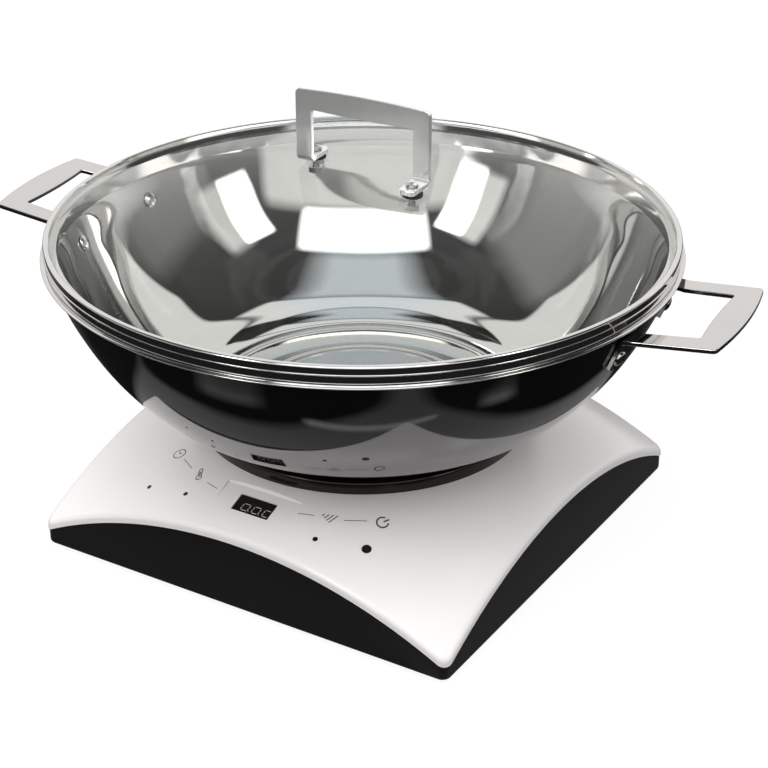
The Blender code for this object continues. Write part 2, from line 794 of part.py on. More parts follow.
def tab_section():
    """The top face of one arm from the tab's foot up the wall and round the bend: places and normals."""
    across, rise = wok_wall_normal(RIVET_Z)
    wall = Vector((across, rise))
    plate_angle = math.atan(HANDLE_SLOPE)
    plate = Vector((math.sin(plate_angle), -math.cos(plate_angle)))
    up = Vector((-rise, across))
    out = Vector((math.cos(plate_angle), math.sin(plate_angle)))
    z = HANDLE_Z - 0.0005
    for _ in range(6):
        z = handle_top_z(wok_wall_radius(z) + GAP)
    corner = Vector((wok_wall_radius(z) + GAP + 0.0001, z))
    radius = 0.004
    turn = math.acos(max(-1.0, min(1.0, up.dot(out))))
    tangent = radius * math.tan(turn / 2)
    centre = corner - up * tangent + wall * radius
    foot = (TAB_BOTTOM_Z - corner.y) / up.y
    section = [(corner + up * foot, wall), (corner - up * tangent, wall)]
    for share in (1 / 3, 2 / 3):
        normal = (wall * (1 - share) + plate * share).normalized()
        section.append((centre - normal * radius, normal))
    section.append((corner + out * tangent, plate))
    return section


def ribbon_points(top, width_pair, normal):
    """Four corners of the handle's bar at one station: top outer, top inner, bottom inner, bottom outer."""
    outer, inner = (Vector(point) for point in width_pair)
    down = Vector(normal) * HANDLE_PLATE
    return [outer + top, inner + top, inner + top + down, outer + top + down]


def handle_half():
    """Stations of half a side handle, from its tab to the middle of its grip, in the handle's own frame."""
    stations = []
    radial = Vector((math.cos(TAB_ANGLE), math.sin(TAB_ANGLE), 0.0))
    sideways = Vector((-math.sin(TAB_ANGLE), math.cos(TAB_ANGLE), 0.0))
    for i, (point, normal) in enumerate(tab_section()):
        half = TAB_WIDTH / 2 - (0.0012 if i == 0 else 0.0)
        centre = radial * point.x + Vector((0.0, 0.0, point.y))
        away = radial * normal.x + Vector((0.0, 0.0, normal.y))
        stations.append(ribbon_points(centre, (sideways * half, -sideways * half), away))

    plate_angle = math.atan(HANDLE_SLOPE)
    down = (math.sin(plate_angle), 0.0, -math.cos(plate_angle))

    def flat(outer, inner):
        pair = [(u, v, handle_top_z(u)) for u, v in (outer, inner)]
        stations.append(ribbon_points(Vector((0.0, 0.0, 0.0)), pair, down))

    flat((ARM_START, HANDLE_ROOT_HALF), (ARM_START, ROOT_INNER_HALF))
    corner = 0.0028
    inner_corner = 0.0016
    outer_centre = (HANDLE_REACH - corner, HANDLE_HALF - corner)
    inner_centre = (GRIP_INNER - inner_corner, GRIP_INNER_HALF - inner_corner)
    for step in range(4):
        angle = math.pi / 2 * (1 - step / 3)
        cos, sin = math.cos(angle), math.sin(angle)
        outer = (outer_centre[0] + corner * cos, outer_centre[1] + corner * sin)
        inner = (inner_centre[0] + inner_corner * cos, inner_centre[1] + inner_corner * sin)
        flat(outer, inner)
    for share in (2 / 3, 1 / 3, 0.0):
        rise = 1 - share**2
        outer = (HANDLE_REACH + GRIP_BULGE * rise, (HANDLE_HALF - corner) * share)
        inner = (GRIP_INNER - GRIP_INNER_BULGE * rise, (GRIP_INNER_HALF - inner_corner) * share)
        flat(outer, inner)
    return stations


def wok_handle(name, side):
    """A bent flat steel bar: tabs down the wall, arms, and a bowed grip."""
    half = handle_half()
    mirrored = [[Vector((p.x, -p.y, p.z)) for p in station] for station in reversed(half[:-1])]
    turn = Matrix.Rotation(HANDLE_TURN + side * math.pi, 4, "Z")
    rings = [[turn @ point for point in station] for station in half + mirrored]
    handle = lofted(name, rings, satin_steel(), closed=False)
    hole = RIVET_SHANK + HOLE_CLEARANCE
    holes = [pin(hole, 0.0, 0.008, rivet_frame(side, angle), 10) for angle in (RIVET_ANGLE, -RIVET_ANGLE)]
    return cut(handle, holes)


def lid_top_z(radius):
    return LID_APEX_Z - LID_SPHERE + math.sqrt(LID_SPHERE**2 - radius**2)


def lid_under_z(radius):
    inner = LID_SPHERE - LID_GLASS_THICKNESS
    return LID_APEX_Z - LID_SPHERE + math.sqrt(inner**2 - radius**2)


def lid_screw_places():
    """Centres of the two lid screws, in the row's frame: on the right foot and on the left foot."""
    turn = Matrix.Rotation(LID_HANDLE_TURN, 4, "Z")
    return [turn @ Vector((LID_SCREW_X, -LID_SCREW_Y, 0.0)), turn @ Vector((-LID_SCREW_X, LID_SCREW_Y, 0.0))]


def lid_glass():
    """Pressed glass dome with a ground edge and two screw holes."""
    top_radii = [0.0, 0.035, 0.070, 0.105, 0.140, LID_GLASS_RADIUS]
    under_radii = [LID_GLASS_RADIUS, 0.130, 0.085, 0.040, 0.0]
    profile = [(radius, lid_top_z(radius)) for radius in top_radii]
    profile += [(radius, lid_under_z(radius)) for radius in under_radii]
    glass = turned("lid_glass", profile, clear_glass())
    hole = LID_SCREW_RADIUS + 2 * HOLE_CLEARANCE
    holes = [pin(hole, 0.200, 0.225, at(place.x, place.y), 12) for place in lid_screw_places()]
    return cut(glass, holes)


def lid_ring():
    """Rolled steel rim: two bright beads with a hollow between them, a ledge for the glass and a skirt."""
    glass_gap = LID_GLASS_RADIUS + GAP
    seat = WOK_RIM_Z + GAP
    skirt_low = 0.1712
    profile = [
        (glass_gap + 0.0003, LID_RING_TOP_Z),
        (LID_RING_RADIUS - 0.0006, LID_RING_TOP_Z),
        (LID_RING_RADIUS, LID_RING_TOP_Z - 0.0006),
        (LID_RING_RADIUS, LID_RING_TOP_Z - 0.0024),
        (LID_RING_RADIUS - 0.0012, LID_RING_TOP_Z - 0.0042),
        (LID_RING_RADIUS - 0.0012, seat + 0.0036),
        (LID_RING_RADIUS, seat + 0.0020),
        (LID_RING_RADIUS, seat),
        (0.1738, seat),
        (0.1736, skirt_low),
        (0.1722, skirt_low),
        (0.1712, lid_under_z(0.1712) - GAP),
        (glass_gap, lid_under_z(LID_GLASS_RADIUS) - GAP),
    ]
    return turned("lid_ring", profile, bright_steel())


def lid_handle():
    """A bow cut from flat plate, its two feet bent level in opposite directions."""
    half_plate = LID_HANDLE_PLATE / 2
    bend = 0.0015
    leg_inner = LID_HANDLE_HALF - LID_LEG_WIDTH
    foot_top = LID_FOOT_Z + LID_HANDLE_PLATE
    centre_y = -half_plate - bend
    centre_z = foot_top + bend

    def station(outer, inner, front, back):
        """Front and back are (y, z) offsets of the two faces, for legs in z and for feet in y."""
        return [(outer[0], *outer_at(outer, front)), (inner[0], *outer_at(inner, front)),
                (inner[0], *outer_at(inner, back)), (outer[0], *outer_at(outer, back))]

    def outer_at(point, face):
        return (face[0], point[1] + face[1])

    rings = []
    foot_end = -LID_FOOT_LENGTH
    for y, trim in ((foot_end, 0.0022), (foot_end + 0.0022, 0.0), (centre_y, 0.0)):
        outer = (LID_HANDLE_HALF - trim, 0.0)
        inner = (leg_inner + trim, 0.0)
        rings.append(station(outer, inner, (y, foot_top), (y, LID_FOOT_Z)))
    for step in (1, 2, 3):
        angle = math.pi / 2 * step / 3
        sin, cos = math.sin(angle), math.cos(angle)
        front = (centre_y + bend * sin, centre_z - bend * cos)
        thick = bend + LID_HANDLE_PLATE
        back = (centre_y + thick * sin, centre_z - thick * cos)
        rings.append(station((LID_HANDLE_HALF, 0.0), (leg_inner, 0.0), front, back))

    front = (-half_plate, 0.0)
    back = (half_plate, 0.0)
    corner = 0.0028
    inner_corner = 0.0022
    bar_low = LID_HANDLE_TOP_Z - LID_BAR_HEIGHT
    outer_centre = (LID_HANDLE_HALF - corner, LID_HANDLE_TOP_Z - corner)
    inner_centre = (leg_inner - inner_corner, bar_low - inner_corner)
    for step in range(4):
        angle = math.pi / 2 * step / 3
        sin, cos = math.sin(angle), math.cos(angle)
        outer = (outer_centre[0] + corner * cos, outer_centre[1] + corner * sin)
        inner = (inner_centre[0] + inner_corner * cos, inner_centre[1] + inner_corner * sin)
        rings.append(station(outer, inner, front, back))
    for share in (2 / 3, 1 / 3, 0.0):
        rise = 1 - share**2
        outer = (outer_centre[0] * share, LID_HANDLE_TOP_Z + LID_HANDLE_BULGE * rise)
        inner = (inner_centre[0] * share, bar_low - 0.0006 * rise)
        rings.append(station(outer, inner, front, back))

    half_turn = Matrix.Rotation(math.pi, 4, "Z")
    other = []
    for ring in reversed(rings[:-1]):
        turned_ring = [half_turn @ Vector(point) for point in ring]
        other.append([turned_ring[3], turned_ring[2], turned_ring[1], turned_ring[0]])
    turn = Matrix.Rotation(LID_HANDLE_TURN, 4, "Z")
    all_rings = [[turn @ Vector(point) for point in ring] for ring in rings + other]
    handle = lofted("lid_handle", all_rings, satin_steel(), closed=False)
    hole = LID_SCREW_RADIUS + HOLE_CLEARANCE
    holes = [pin(hole, 0.210, 0.2225, at(place.x, place.y), 12) for place in lid_screw_places()]
    return cut(handle, holes)


def lid_fasteners():
    """For each foot a spacer that lies on the glass, a pan-head screw and a nut under the glass."""
    foot_top = LID_FOOT_Z + LID_HANDLE_PLATE
    for side, place in zip(("right", "left"), lid_screw_places()):
        lid_spacer(f"lid_spacer_{side}", place)
        head = foot_top + GAP
        screw = [
            (0.0, head + 0.0016),
            (0.0020, head + 0.0015),
            (0.0031, head + 0.0008),
            (0.0032, head),
            (LID_SCREW_RADIUS, head),
            (LID_SCREW_RADIUS, 0.2050),
            (0.0, 0.2050),
        ]
        turned(f"lid_screw_{side}", screw, bright_steel(), 12, at(place.x, place.y))
        nut_top = lid_under_z(math.hypot(place.x, place.y) + 0.006) - GAP
        nut = [(0.0024, nut_top), (0.0045, nut_top), (0.0045, nut_top - 0.0030), (0.0024, nut_top - 0.0030)]
        turned(f"lid_nut_{side}", nut, bright_steel(), 6, at(place.x, place.y))


def lid_spacer(name, place):
    """A round spacer, flat on top and shaped to the glass below, with the screw's hole."""
    steps = 12
    rings = []
    for radius, under in ((0.0060, False), (0.0060, True), (0.0026, True), (0.0026, False)):
        ring = []
        for i in range(steps):
            angle = 2 * math.pi * i / steps
            x = place.x + radius * math.cos(angle)
            y = place.y + radius * math.sin(angle)
            z = lid_top_z(math.hypot(x, y)) + GAP if under else LID_FOOT_Z - GAP
            ring.append((x, y, z))
        rings.append(ring)
    return lofted(name, rings, rubber(), closed=True)


def clear_scene():
    for old in list(bpy.data.objects):
        bpy.data.objects.remove(old)


clear_scene()
lower_housing()
top_cover()
plate_ring()
glass_plate()
coil_stack()
controls()
power_board()
heat_sink()
cooling_fan()
small_hob_parts()
wok_bowl()
wok_rivets()
wok_handle("wok_handle_right", 0)
wok_handle("wok_handle_left", 1)
lid_glass()
lid_ring()
lid_handle()
lid_fasteners()
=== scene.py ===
"""Looks of a portable induction hob with a lidded wok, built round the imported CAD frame, in metres."""

import functools
import math

import bmesh
import bpy
from mathutils import Matrix, Vector


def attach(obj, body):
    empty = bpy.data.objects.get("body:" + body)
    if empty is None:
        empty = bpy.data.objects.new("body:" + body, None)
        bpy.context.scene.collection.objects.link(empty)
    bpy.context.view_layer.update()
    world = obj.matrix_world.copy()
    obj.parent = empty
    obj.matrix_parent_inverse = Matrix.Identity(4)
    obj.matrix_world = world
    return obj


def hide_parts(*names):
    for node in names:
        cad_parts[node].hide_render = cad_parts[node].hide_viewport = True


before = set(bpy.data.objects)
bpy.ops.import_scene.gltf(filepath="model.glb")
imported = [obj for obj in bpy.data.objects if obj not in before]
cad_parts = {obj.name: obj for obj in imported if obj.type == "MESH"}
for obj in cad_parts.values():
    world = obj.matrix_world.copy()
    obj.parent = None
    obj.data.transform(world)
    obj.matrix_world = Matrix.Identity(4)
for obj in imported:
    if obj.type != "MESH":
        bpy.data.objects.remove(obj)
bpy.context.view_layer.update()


# Camera: a long lens in front of the object and to its right, looking down over the lid.
# Its place, heading, tilt and roll were solved from the hob's edges and the round rims.

CAMERA_PLACE = (0.5617, -0.8962, 0.6328)
CAMERA_HEADING = math.radians(31.432)
CAMERA_TILT = math.radians(27.426)
CAMERA_ROLL = math.radians(0.086)
CAMERA_LENS = 95.45
camera_data = bpy.data.cameras.new("camera")
camera_data.lens = CAMERA_LENS
camera_data.sensor_width = 36.0
camera_data.clip_start = 0.01
camera = bpy.data.objects.new("camera", camera_data)
looking = Matrix.Rotation(CAMERA_HEADING, 4, "Z") @ Matrix.Rotation(math.pi / 2 - CAMERA_TILT, 4, "X")
camera.matrix_world = Matrix.Translation(CAMERA_PLACE) @ looking @ Matrix.Rotation(CAMERA_ROLL, 4, "Z")
bpy.context.collection.objects.link(camera)
bpy.context.scene.camera = camera


# Studio: a white backdrop behind the object, darkness where the photographer stands,
# and softboxes overhead and at the sides, which the polished steel and the enamel mirror.

class Link:
    """One output socket in a node tree. Sums and products of it add Math nodes."""

    def __init__(self, tree, socket=None):
        self.tree = tree
        self.socket = socket

    def node(self, kind, settings=None, inputs=None, output=0):
        """Adds a node: first its settings, then the values or links of its sockets."""
        made = self.tree.nodes.new(kind)
        for name, setting in (settings or {}).items():
            setattr(made, name, setting)
        for name, given in (inputs or {}).items():
            if isinstance(given, Link):
                self.tree.links.new(given.socket, made.inputs[name])
            else:
                made.inputs[name].default_value = given
        return Link(self.tree, made.outputs[output] if made.outputs else None)

    def maths(self, operation, first, second=0.0):
        return self.node("ShaderNodeMath", {"operation": operation}, {0: first, 1: second})

    def paired(self, operation, other):
        return self.maths(operation, self, other)

    __add__ = __radd__ = functools.partialmethod(paired, "ADD")
    __mul__ = __rmul__ = functools.partialmethod(paired, "MULTIPLY")
    __sub__ = functools.partialmethod(paired, "SUBTRACT")
    __truediv__ = functools.partialmethod(paired, "DIVIDE")
    __pow__ = functools.partialmethod(paired, "POWER")
    below = functools.partialmethod(paired, "LESS_THAN")
    above = functools.partialmethod(paired, "GREATER_THAN")

    def __rsub__(self, other):
        return self.maths("SUBTRACT", other, self)

    def __neg__(self):
        return self * -1.0

    def clamped(self):
        return self.maths("MINIMUM", self.maths("MAXIMUM", self, 0.0), 1.0)

    def ramp(self, start, end):
        """0 before start, 1 after end, with an even rise between them."""
        return ((self - start) * (1.0 / (end - start))).clamped()

    def dot(self, vector):
        return self.node("ShaderNodeVectorMath", {"operation": "DOT_PRODUCT"}, {0: self, 1: vector}, "Value")

    def axis(self, name):
        return self.node("ShaderNodeSeparateXYZ", {}, {0: self}, name)

    def radius(self):
        """Distance from the Z axis."""
        return self.maths("SQRT", self.axis("X") ** 2.0 + self.axis("Y") ** 2.0)

    def either(self, low, high):
        """The number low where this is 0 and high where it is 1."""
        return low * (1.0 - self) + high * self

    def mixed(self, low, high):
        """The colour low where this is 0 and high where it is 1. Either can be a link."""
        low, high = (part if isinstance(part, Link) else (*part, 1.0) for part in (low, high))
        return self.node("ShaderNodeMix", {"data_type": "RGBA"}, {0: self, 6: low, 7: high}, 2)

    def ray(self, kind):
        return self.node("ShaderNodeLightPath", output=f"Is {kind} Ray")

    def within(self, half, blur):
        """1 up to half on each side of 0 and 0 beyond it, with a soft edge."""
        return 1.0 - self.maths("ABSOLUTE", self).ramp(half - blur, half + blur)

    def joined(self, x, y=0.0, z=0.0):
        return self.node("ShaderNodeCombineXYZ", inputs={"X": x, "Y": y, "Z": z})

    def noise(self, scale, detail, distortion=0.0):
        inputs = {"Vector": self, "Scale": scale, "Detail": detail, "Distortion": distortion}
        return self.node("ShaderNodeTexNoise", inputs=inputs)


def softbox(direction, heading, tilt, half_width, half_height, blur):
    """A mask for a rectangle of light far away: heading and tilt in degrees, half sizes in tangents."""
    out = Matrix.Rotation(math.radians(heading), 3, "Z") @ Matrix.Rotation(math.radians(tilt), 3, "X")
    across, ahead, up = (tuple(out.col[i]) for i in range(3))
    depth = direction.dot(ahead)
    deep = direction.maths("MAXIMUM", depth, 0.001)
    x = direction.dot(across) / deep
    y = direction.dot(up) / deep
    return x.within(half_width, blur) * y.within(half_height, blur) * depth.above(0.0)


BEHIND = (-math.sin(CAMERA_HEADING), math.cos(CAMERA_HEADING), 0.0)
DARKNESS = 0.025
HORIZON = 0.85
SOFT_LEVEL = 0.80
SOFTBOXES = (
    # heading right of the backdrop's middle, tilt, half width, half height, blur, brightness
    (0.0, 0.0, 2.10, 1.60, 0.08, 0.95),
    (180.0, 52.0, 0.42, 0.19, 0.03, 3.00),
    (-134.5, 32.5, 0.10, 0.22, 0.02, 6.00),
    (-124.5, 33.0, 0.09, 0.22, 0.03, 1.00),
    (-90.0, 24.0, 0.40, 0.36, 0.10, 0.26),
    (123.5, 32.5, 0.11, 0.21, 0.02, 5.00),
    (112.5, 33.0, 0.10, 0.21, 0.04, 0.80),
    (90.0, 10.0, 0.40, 0.36, 0.10, 0.18),
    (180.0, 22.0, 0.80, 0.36, 0.06, 0.95),
    (180.0, 83.0, 0.28, 0.38, 0.10, 0.78),
    (0.0, 68.0, 0.38, 0.14, 0.03, 1.00),
)

world = bpy.data.worlds.new("studio")
world.use_nodes = True
world.node_tree.nodes.clear()
sky = Link(world.node_tree)
direction = sky.node("ShaderNodeTexCoord")
tall = direction.axis("Z")
light = (1.0 - tall.ramp(0.10, 0.24)) * tall.ramp(-0.04, 0.04) * HORIZON + DARKNESS
for heading, tilt, half_width, half_height, blur, brightness in SOFTBOXES:
    turn = math.degrees(CAMERA_HEADING) - heading
    box = softbox(direction, turn, tilt, half_width, half_height, blur)
    light = sky.maths("MAXIMUM", light, box * brightness)
plain = (sky.ray("Camera") + sky.ray("Transmission")).clamped()
spread = sky.ray("Diffuse")
strength = plain.either(spread.either(light, SOFT_LEVEL), 1.0)
overhead = softbox(direction, math.degrees(CAMERA_HEADING) - 180.0, 84.5, 0.36, 0.50, 0.10)
tint = overhead.mixed((1.0, 0.985, 0.975), (0.88, 0.95, 1.03))
tint = (plain + spread).clamped().mixed(tint, (1.0, 1.0, 1.0))
background = sky.node("ShaderNodeBackground", inputs={"Color": tint, "Strength": strength})
sky.node("ShaderNodeOutputWorld", inputs={"Surface": background})
bpy.context.scene.world = world
bpy.context.scene.view_settings.view_transform = "Standard"

FLOOR_HALF = 4.0
FLOOR_GLOW = 0.90
CARD_HALF = 0.180
CARD_BLUR = 0.008
CARD_SHARE = 0.22
BEHIND_SHARE = 0.10
GLINTS = (
    # spots of light on the paper, which the enamel mirrors:
    # x, y, heading, half length, half width, blur, level
    (-0.040, -0.226, 0.0, 0.040, 0.008, 0.012, 0.35),
    (0.105, -0.150, 31.0, 0.070, 0.004, 0.006, 0.9),
    (0.215, -0.060, 60.0, 0.020, 0.008, 0.010, 0.5),
)
floor_mesh = bpy.data.meshes.new("floor")
corners = [(x * FLOOR_HALF, y * FLOOR_HALF, 0.0) for x, y in ((-1, -1), (1, -1), (1, 1), (-1, 1))]
floor_mesh.from_pydata(corners, [], [(0, 1, 2, 3)])
floor = bpy.data.objects.new("floor", floor_mesh)
bpy.context.collection.objects.link(floor)
floor_look = bpy.data.materials.new("floor_paper")
floor_look.use_nodes = True
floor_look.node_tree.nodes.clear()
paper = Link(floor_look.node_tree)
place = paper.node("ShaderNodeTexCoord", output="Object")
mirrored = paper.ray("Glossy")
shade = (place.noise(40.0, 3.0) * 0.01 + 0.12) * (1.0 - 0.92 * mirrored)
lit = paper.node("ShaderNodeBsdfDiffuse", inputs={"Color": shade, "Roughness": 0.9})
behind = place.dot(BEHIND).ramp(0.10, 0.30) * BEHIND_SHARE
across = paper.maths("ABSOLUTE", place.axis("X"))
along = paper.maths("ABSOLUTE", place.axis("Y"))
card = paper.maths("MAXIMUM", across, along).within(CARD_HALF, CARD_BLUR)
pale = paper.maths("MAXIMUM", behind, card * CARD_SHARE)
for x, y, heading, half_length, half_width, blur, share in GLINTS:
    turn = math.radians(heading)
    ahead = Vector((math.cos(turn), math.sin(turn), 0.0))
    aside = Vector((-ahead.y, ahead.x, 0.0))
    spot = Vector((x, y, 0.0))
    along = place.dot(tuple(ahead)) - ahead.dot(spot)
    across = place.dot(tuple(aside)) - aside.dot(spot)
    glint = along.within(half_length, blur) * across.within(half_width, blur)
    pale = paper.maths("MAXIMUM", pale, glint * share)
boost = (paper.ray("Camera") + paper.ray("Transmission") + mirrored * pale).clamped() * FLOOR_GLOW
glow = paper.node("ShaderNodeEmission", inputs={"Color": (1.0, 1.0, 1.0, 1.0), "Strength": boost})
both = paper.node("ShaderNodeAddShader", inputs={0: lit, 1: glow})
paper.node("ShaderNodeOutputMaterial", inputs={"Surface": both})
floor_mesh.materials.append(floor_look)

LAMPS = (
    # place, size, power
    ((0.1, -0.35, 1.55), 1.2, 15.5),
    ((-1.0, -1.1, 1.1), 0.9, 9.0),
    ((1.2, 0.2, 1.0), 0.8, 3.0),
)
for place, size, power in LAMPS:
    lamp_data = bpy.data.lights.new("lamp", "AREA")
    lamp_data.shape = "SQUARE"
    lamp_data.size = size
    lamp_data.energy = power
    lamp = bpy.data.objects.new("lamp", lamp_data)
    aim = (Vector((0.0, 0.0, 0.08)) - Vector(place)).to_track_quat("-Z", "Y")
    lamp.matrix_world = Matrix.Translation(place) @ aim.to_matrix().to_4x4()
    lamp.visible_glossy = False
    lamp.visible_camera = False
    bpy.context.collection.objects.link(lamp)


# Lower housing: a tray moulded in black ABS with a fine spark-eroded grain, its walls arched at the top
# to carry the cover on a spigot, with air slots at the back and below, screw holes and posts for the board.

GAP = 0.0003
HOB_HALF = 0.135
HOB_CORNER = 0.006
DOME_RADIUS = 0.3115
SEAM_CENTRE_Z = -0.2356
LIP_HEIGHT = 0.005
LIP_WIDTH = 0.0028
FLOOR_Z = 0.003
FLOOR_TOP_Z = 0.006
HOUSING_WALL = 0.0026
HOUSING_ROUNDING = 0.0025
SPIGOT_WIDTH = 0.0014
SPIGOT_HEIGHT = 0.0024
SCREW_PLACE = (0.118, 0.084)
SCREW_SEAT_Z = 0.020
SCREW_TOP_Z = 0.0395
SCREW_HOLE = 0.0020
SCREW_BORE = 0.0036
BOSS_RADIUS = 0.0052
POST_RADIUS = 0.0045
POST_LOW_DROP = 0.0118
POST_TOP_DROP = 0.0027
BOARD_HOLES = (0.089, 0.039)
BOARD_CENTRE_Y = 0.059
BOARD_POST_RADIUS = 0.0035
BOARD_POST_TOP_Z = 0.0120
FOOT_PLACE = 0.110
FOOT_HOLE = 0.0035
FAN_CENTRE = (0.055, -0.030)
INTAKE_RADIUS = 0.033
INTAKE_PITCH = 0.009
SLOT_SIZE = (0.0032, 0.012, 0.018)
SLOT_PITCH = 0.008
SLOTS_PLACE = (0.055, HOB_HALF - 0.002, 0.023)
GLAND_PLACE = (-0.085, HOB_HALF, 0.019)
GLAND_HOLE = 0.0055


def seam_z(x, y):
    """Height of the seam between cover and walls: a sphere cut by the square's sides."""
    return SEAM_CENTRE_Z + math.sqrt(DOME_RADIUS**2 - x * x - y * y)


def dome_z(x, y):
    return seam_z(x, y) + LIP_HEIGHT


def kept_mesh(name, mesh_data, look, sharp=35):
    """Closes a bmesh into an object with its faces outwards, smooth where it is round."""
    bmesh.ops.remove_doubles(mesh_data, verts=mesh_data.verts, dist=1e-7)
    mesh_data.normal_update()
    bmesh.ops.recalc_face_normals(mesh_data, faces=mesh_data.faces)
    mesh = bpy.data.meshes.new(name)
    mesh_data.to_mesh(mesh)
    mesh_data.free()
    mesh.materials.append(look)
    mesh.shade_smooth()
    mesh.set_sharp_from_angle(angle=math.radians(sharp))
    piece = bpy.data.objects.new(name, mesh)
    bpy.context.collection.objects.link(piece)
    return piece


def skin(mesh_data, rings, ends):
    """Faces from each ring of points to the next. The ends are open, flat or joined to each other."""
    pairs = list(zip(rings, rings[1:]))
    if ends == "joined":
        pairs.append((rings[-1], rings[0]))
    if ends == "flat":
        mesh_data.faces.new(rings[0])
        mesh_data.faces.new(rings[-1])
    for low, high in pairs:
        count = max(len(low), len(high))
        for i in range(count):
            j = (i + 1) % count
            corners = [low[i % len(low)], low[j % len(low)], high[j % len(high)], high[i % len(high)]]
            mesh_data.faces.new(list(dict.fromkeys(corners)))


def lofted(name, rings, look):
    """A body through rings of points, with flat ends."""
    mesh_data = bmesh.new()
    skin(mesh_data, [[mesh_data.verts.new(point) for point in ring] for ring in rings], "flat")
    return kept_mesh(name, mesh_data, look)


def turned(name, profile, look, steps=160, place=None, sharp=35):
    """A body turned about Z from a profile of (radius, z) points, closed on itself or from pole to pole."""
    mesh_data = bmesh.new()
    rings = []
    for radius, z in profile:
        count = steps if radius > 0 else 1
        angles = [2 * math.pi * i / count for i in range(count)]
        rings.append([mesh_data.verts.new((radius * math.cos(a), radius * math.sin(a), z)) for a in angles])
    skin(mesh_data, rings, "joined" if profile[0][0] > 0 else "open")
    if place:
        mesh_data.transform(place)
    return kept_mesh(name, mesh_data, look, sharp)


def block(name, size, place, look, bevel=0.0):
    """A box centred on its place, used as a cutter or as a small moulding."""
    mesh_data = bmesh.new()
    bmesh.ops.create_cube(mesh_data, size=1.0, matrix=Matrix.Diagonal((*size, 1.0)))
    if bevel:
        bmesh.ops.bevel(mesh_data, geom=list(mesh_data.edges), offset=bevel, segments=3, affect="EDGES")
    mesh_data.transform(place)
    return kept_mesh(name, mesh_data, look)


def pin(radius, low, high, place, look, steps=32):
    return turned("pin", [(0.0, high), (radius, high), (radius, low), (0.0, low)], look, steps, place)


def pins(radius, low, high, places, look):
    """Upright pins at places given as (x, y)."""
    return [pin(radius, low, high, Matrix.Translation((x, y, 0.0)), look) for x, y in places]


def facing(place, normal):
    """A frame at a place with its Z along a normal."""
    return Matrix.Translation(place) @ Vector(normal).to_track_quat("Z", "Y").to_matrix().to_4x4()


def settle(piece, sharp):
    """Puts what the piece's modifiers make into its own mesh, and removes them."""
    bpy.context.view_layer.update()
    evaluated = piece.evaluated_get(bpy.context.evaluated_depsgraph_get())
    mesh = bpy.data.meshes.new_from_object(evaluated)
    piece.modifiers.clear()
    piece.data = mesh
    mesh.shade_smooth()
    mesh.set_sharp_from_angle(angle=math.radians(sharp))


def combine(target, others, operation, sharp=35):
    """Cuts the others from the target or joins them to it, and removes them."""
    for other in others:
        modifier = target.modifiers.new("combine", "BOOLEAN")
        modifier.operation = operation
        modifier.object = other
    settle(target, sharp)
    for other in others:
        bpy.data.objects.remove(other)


def principled(name, colour, roughness, **constants):
    """A new material with one Principled shader: the material, the shader, and the place in the object."""
    look = bpy.data.materials.new(name)
    look.use_nodes = True
    shader = look.node_tree.nodes["Principled BSDF"]
    shader.inputs["Base Color"].default_value = (*colour, 1.0)
    shader.inputs["Roughness"].default_value = roughness
    for socket, value in constants.items():
        shader.inputs[socket.replace("_", " ")].default_value = value
    return look, shader, Link(look.node_tree).node("ShaderNodeTexCoord", output="Object")


def feed(shader, link, socket):
    link.tree.links.new(link.socket, shader.inputs[socket])


def feed_bump(shader, height, strength, distance):
    inputs = {"Height": height, "Strength": strength, "Distance": distance}
    feed(shader, height.node("ShaderNodeBump", inputs=inputs), "Normal")


def dress(look, *nodes):
    """Gives CAD nodes a material in place of their plain one."""
    for node in nodes:
        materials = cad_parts[node].data.materials
        materials.clear()
        materials.append(look)


def moulded_black(name, grain_scale, grain_depth, roughness):
    """Black moulded plastic: a fine eroded grain, with duller patches where it has been handled."""
    look, shader, place = principled(name, (0.008, 0.008, 0.0085), roughness, Specular_IOR_Level=0.15)
    grain = place.node("ShaderNodeTexVoronoi", {}, {"Vector": place, "Scale": grain_scale}, "Distance")
    cloud = place.noise(28.0, 4.0)
    feed(shader, cloud * 0.10 + (roughness - 0.05), "Roughness")
    tint = (cloud * 0.6 + grain * 0.4).mixed((0.0055, 0.0055, 0.0055), (0.0095, 0.009, 0.0085))
    feed(shader, tint, "Base Color")
    feed_bump(shader, grain, 0.35, grain_depth)
    return look


def outline(half, side_steps=44, corner_steps=10):
    """Stations round the hob's square with its rounded corners."""
    corner = max(HOB_CORNER - (HOB_HALF - half), 0.0015)
    straight = half - corner
    points = []
    for quarter in range(4):
        turn = Matrix.Rotation(quarter * math.pi / 2, 2)
        for i in range(corner_steps + 1):
            angle = math.pi / 2 * i / corner_steps
            reach = Vector((math.cos(angle), math.sin(angle))) * corner
            points.append(turn @ (reach + Vector((straight, straight))))
        for i in range(1, side_steps):
            points.append(turn @ Vector((straight - 2 * straight * i / side_steps, half)))
    return points


SEAM = [seam_z(*point) for point in outline(HOB_HALF)]


def seam_ring(half, rise):
    return [(point.x, point.y, z + rise) for point, z in zip(outline(half), SEAM)]


def level_ring(half, z):
    return [(point.x, point.y, z) for point in outline(half)]


def arc(centre, radius, start, end, steps):
    """Points of an arc, as (x, y), with its angles in degrees."""
    angles = [math.radians(start + (end - start) * i / steps) for i in range(steps + 1)]
    return [(centre[0] + radius * math.cos(a), centre[1] + radius * math.sin(a)) for a in angles]


def corner_places(x, y):
    return [(x, y), (-x, y), (-x, -y), (x, -y)]


SOCKETS = {
    float: "NodeSocketFloat",
    int: "NodeSocketInt",
    bpy.types.Material: "NodeSocketMaterial",
    bpy.types.Object: "NodeSocketObject",
}


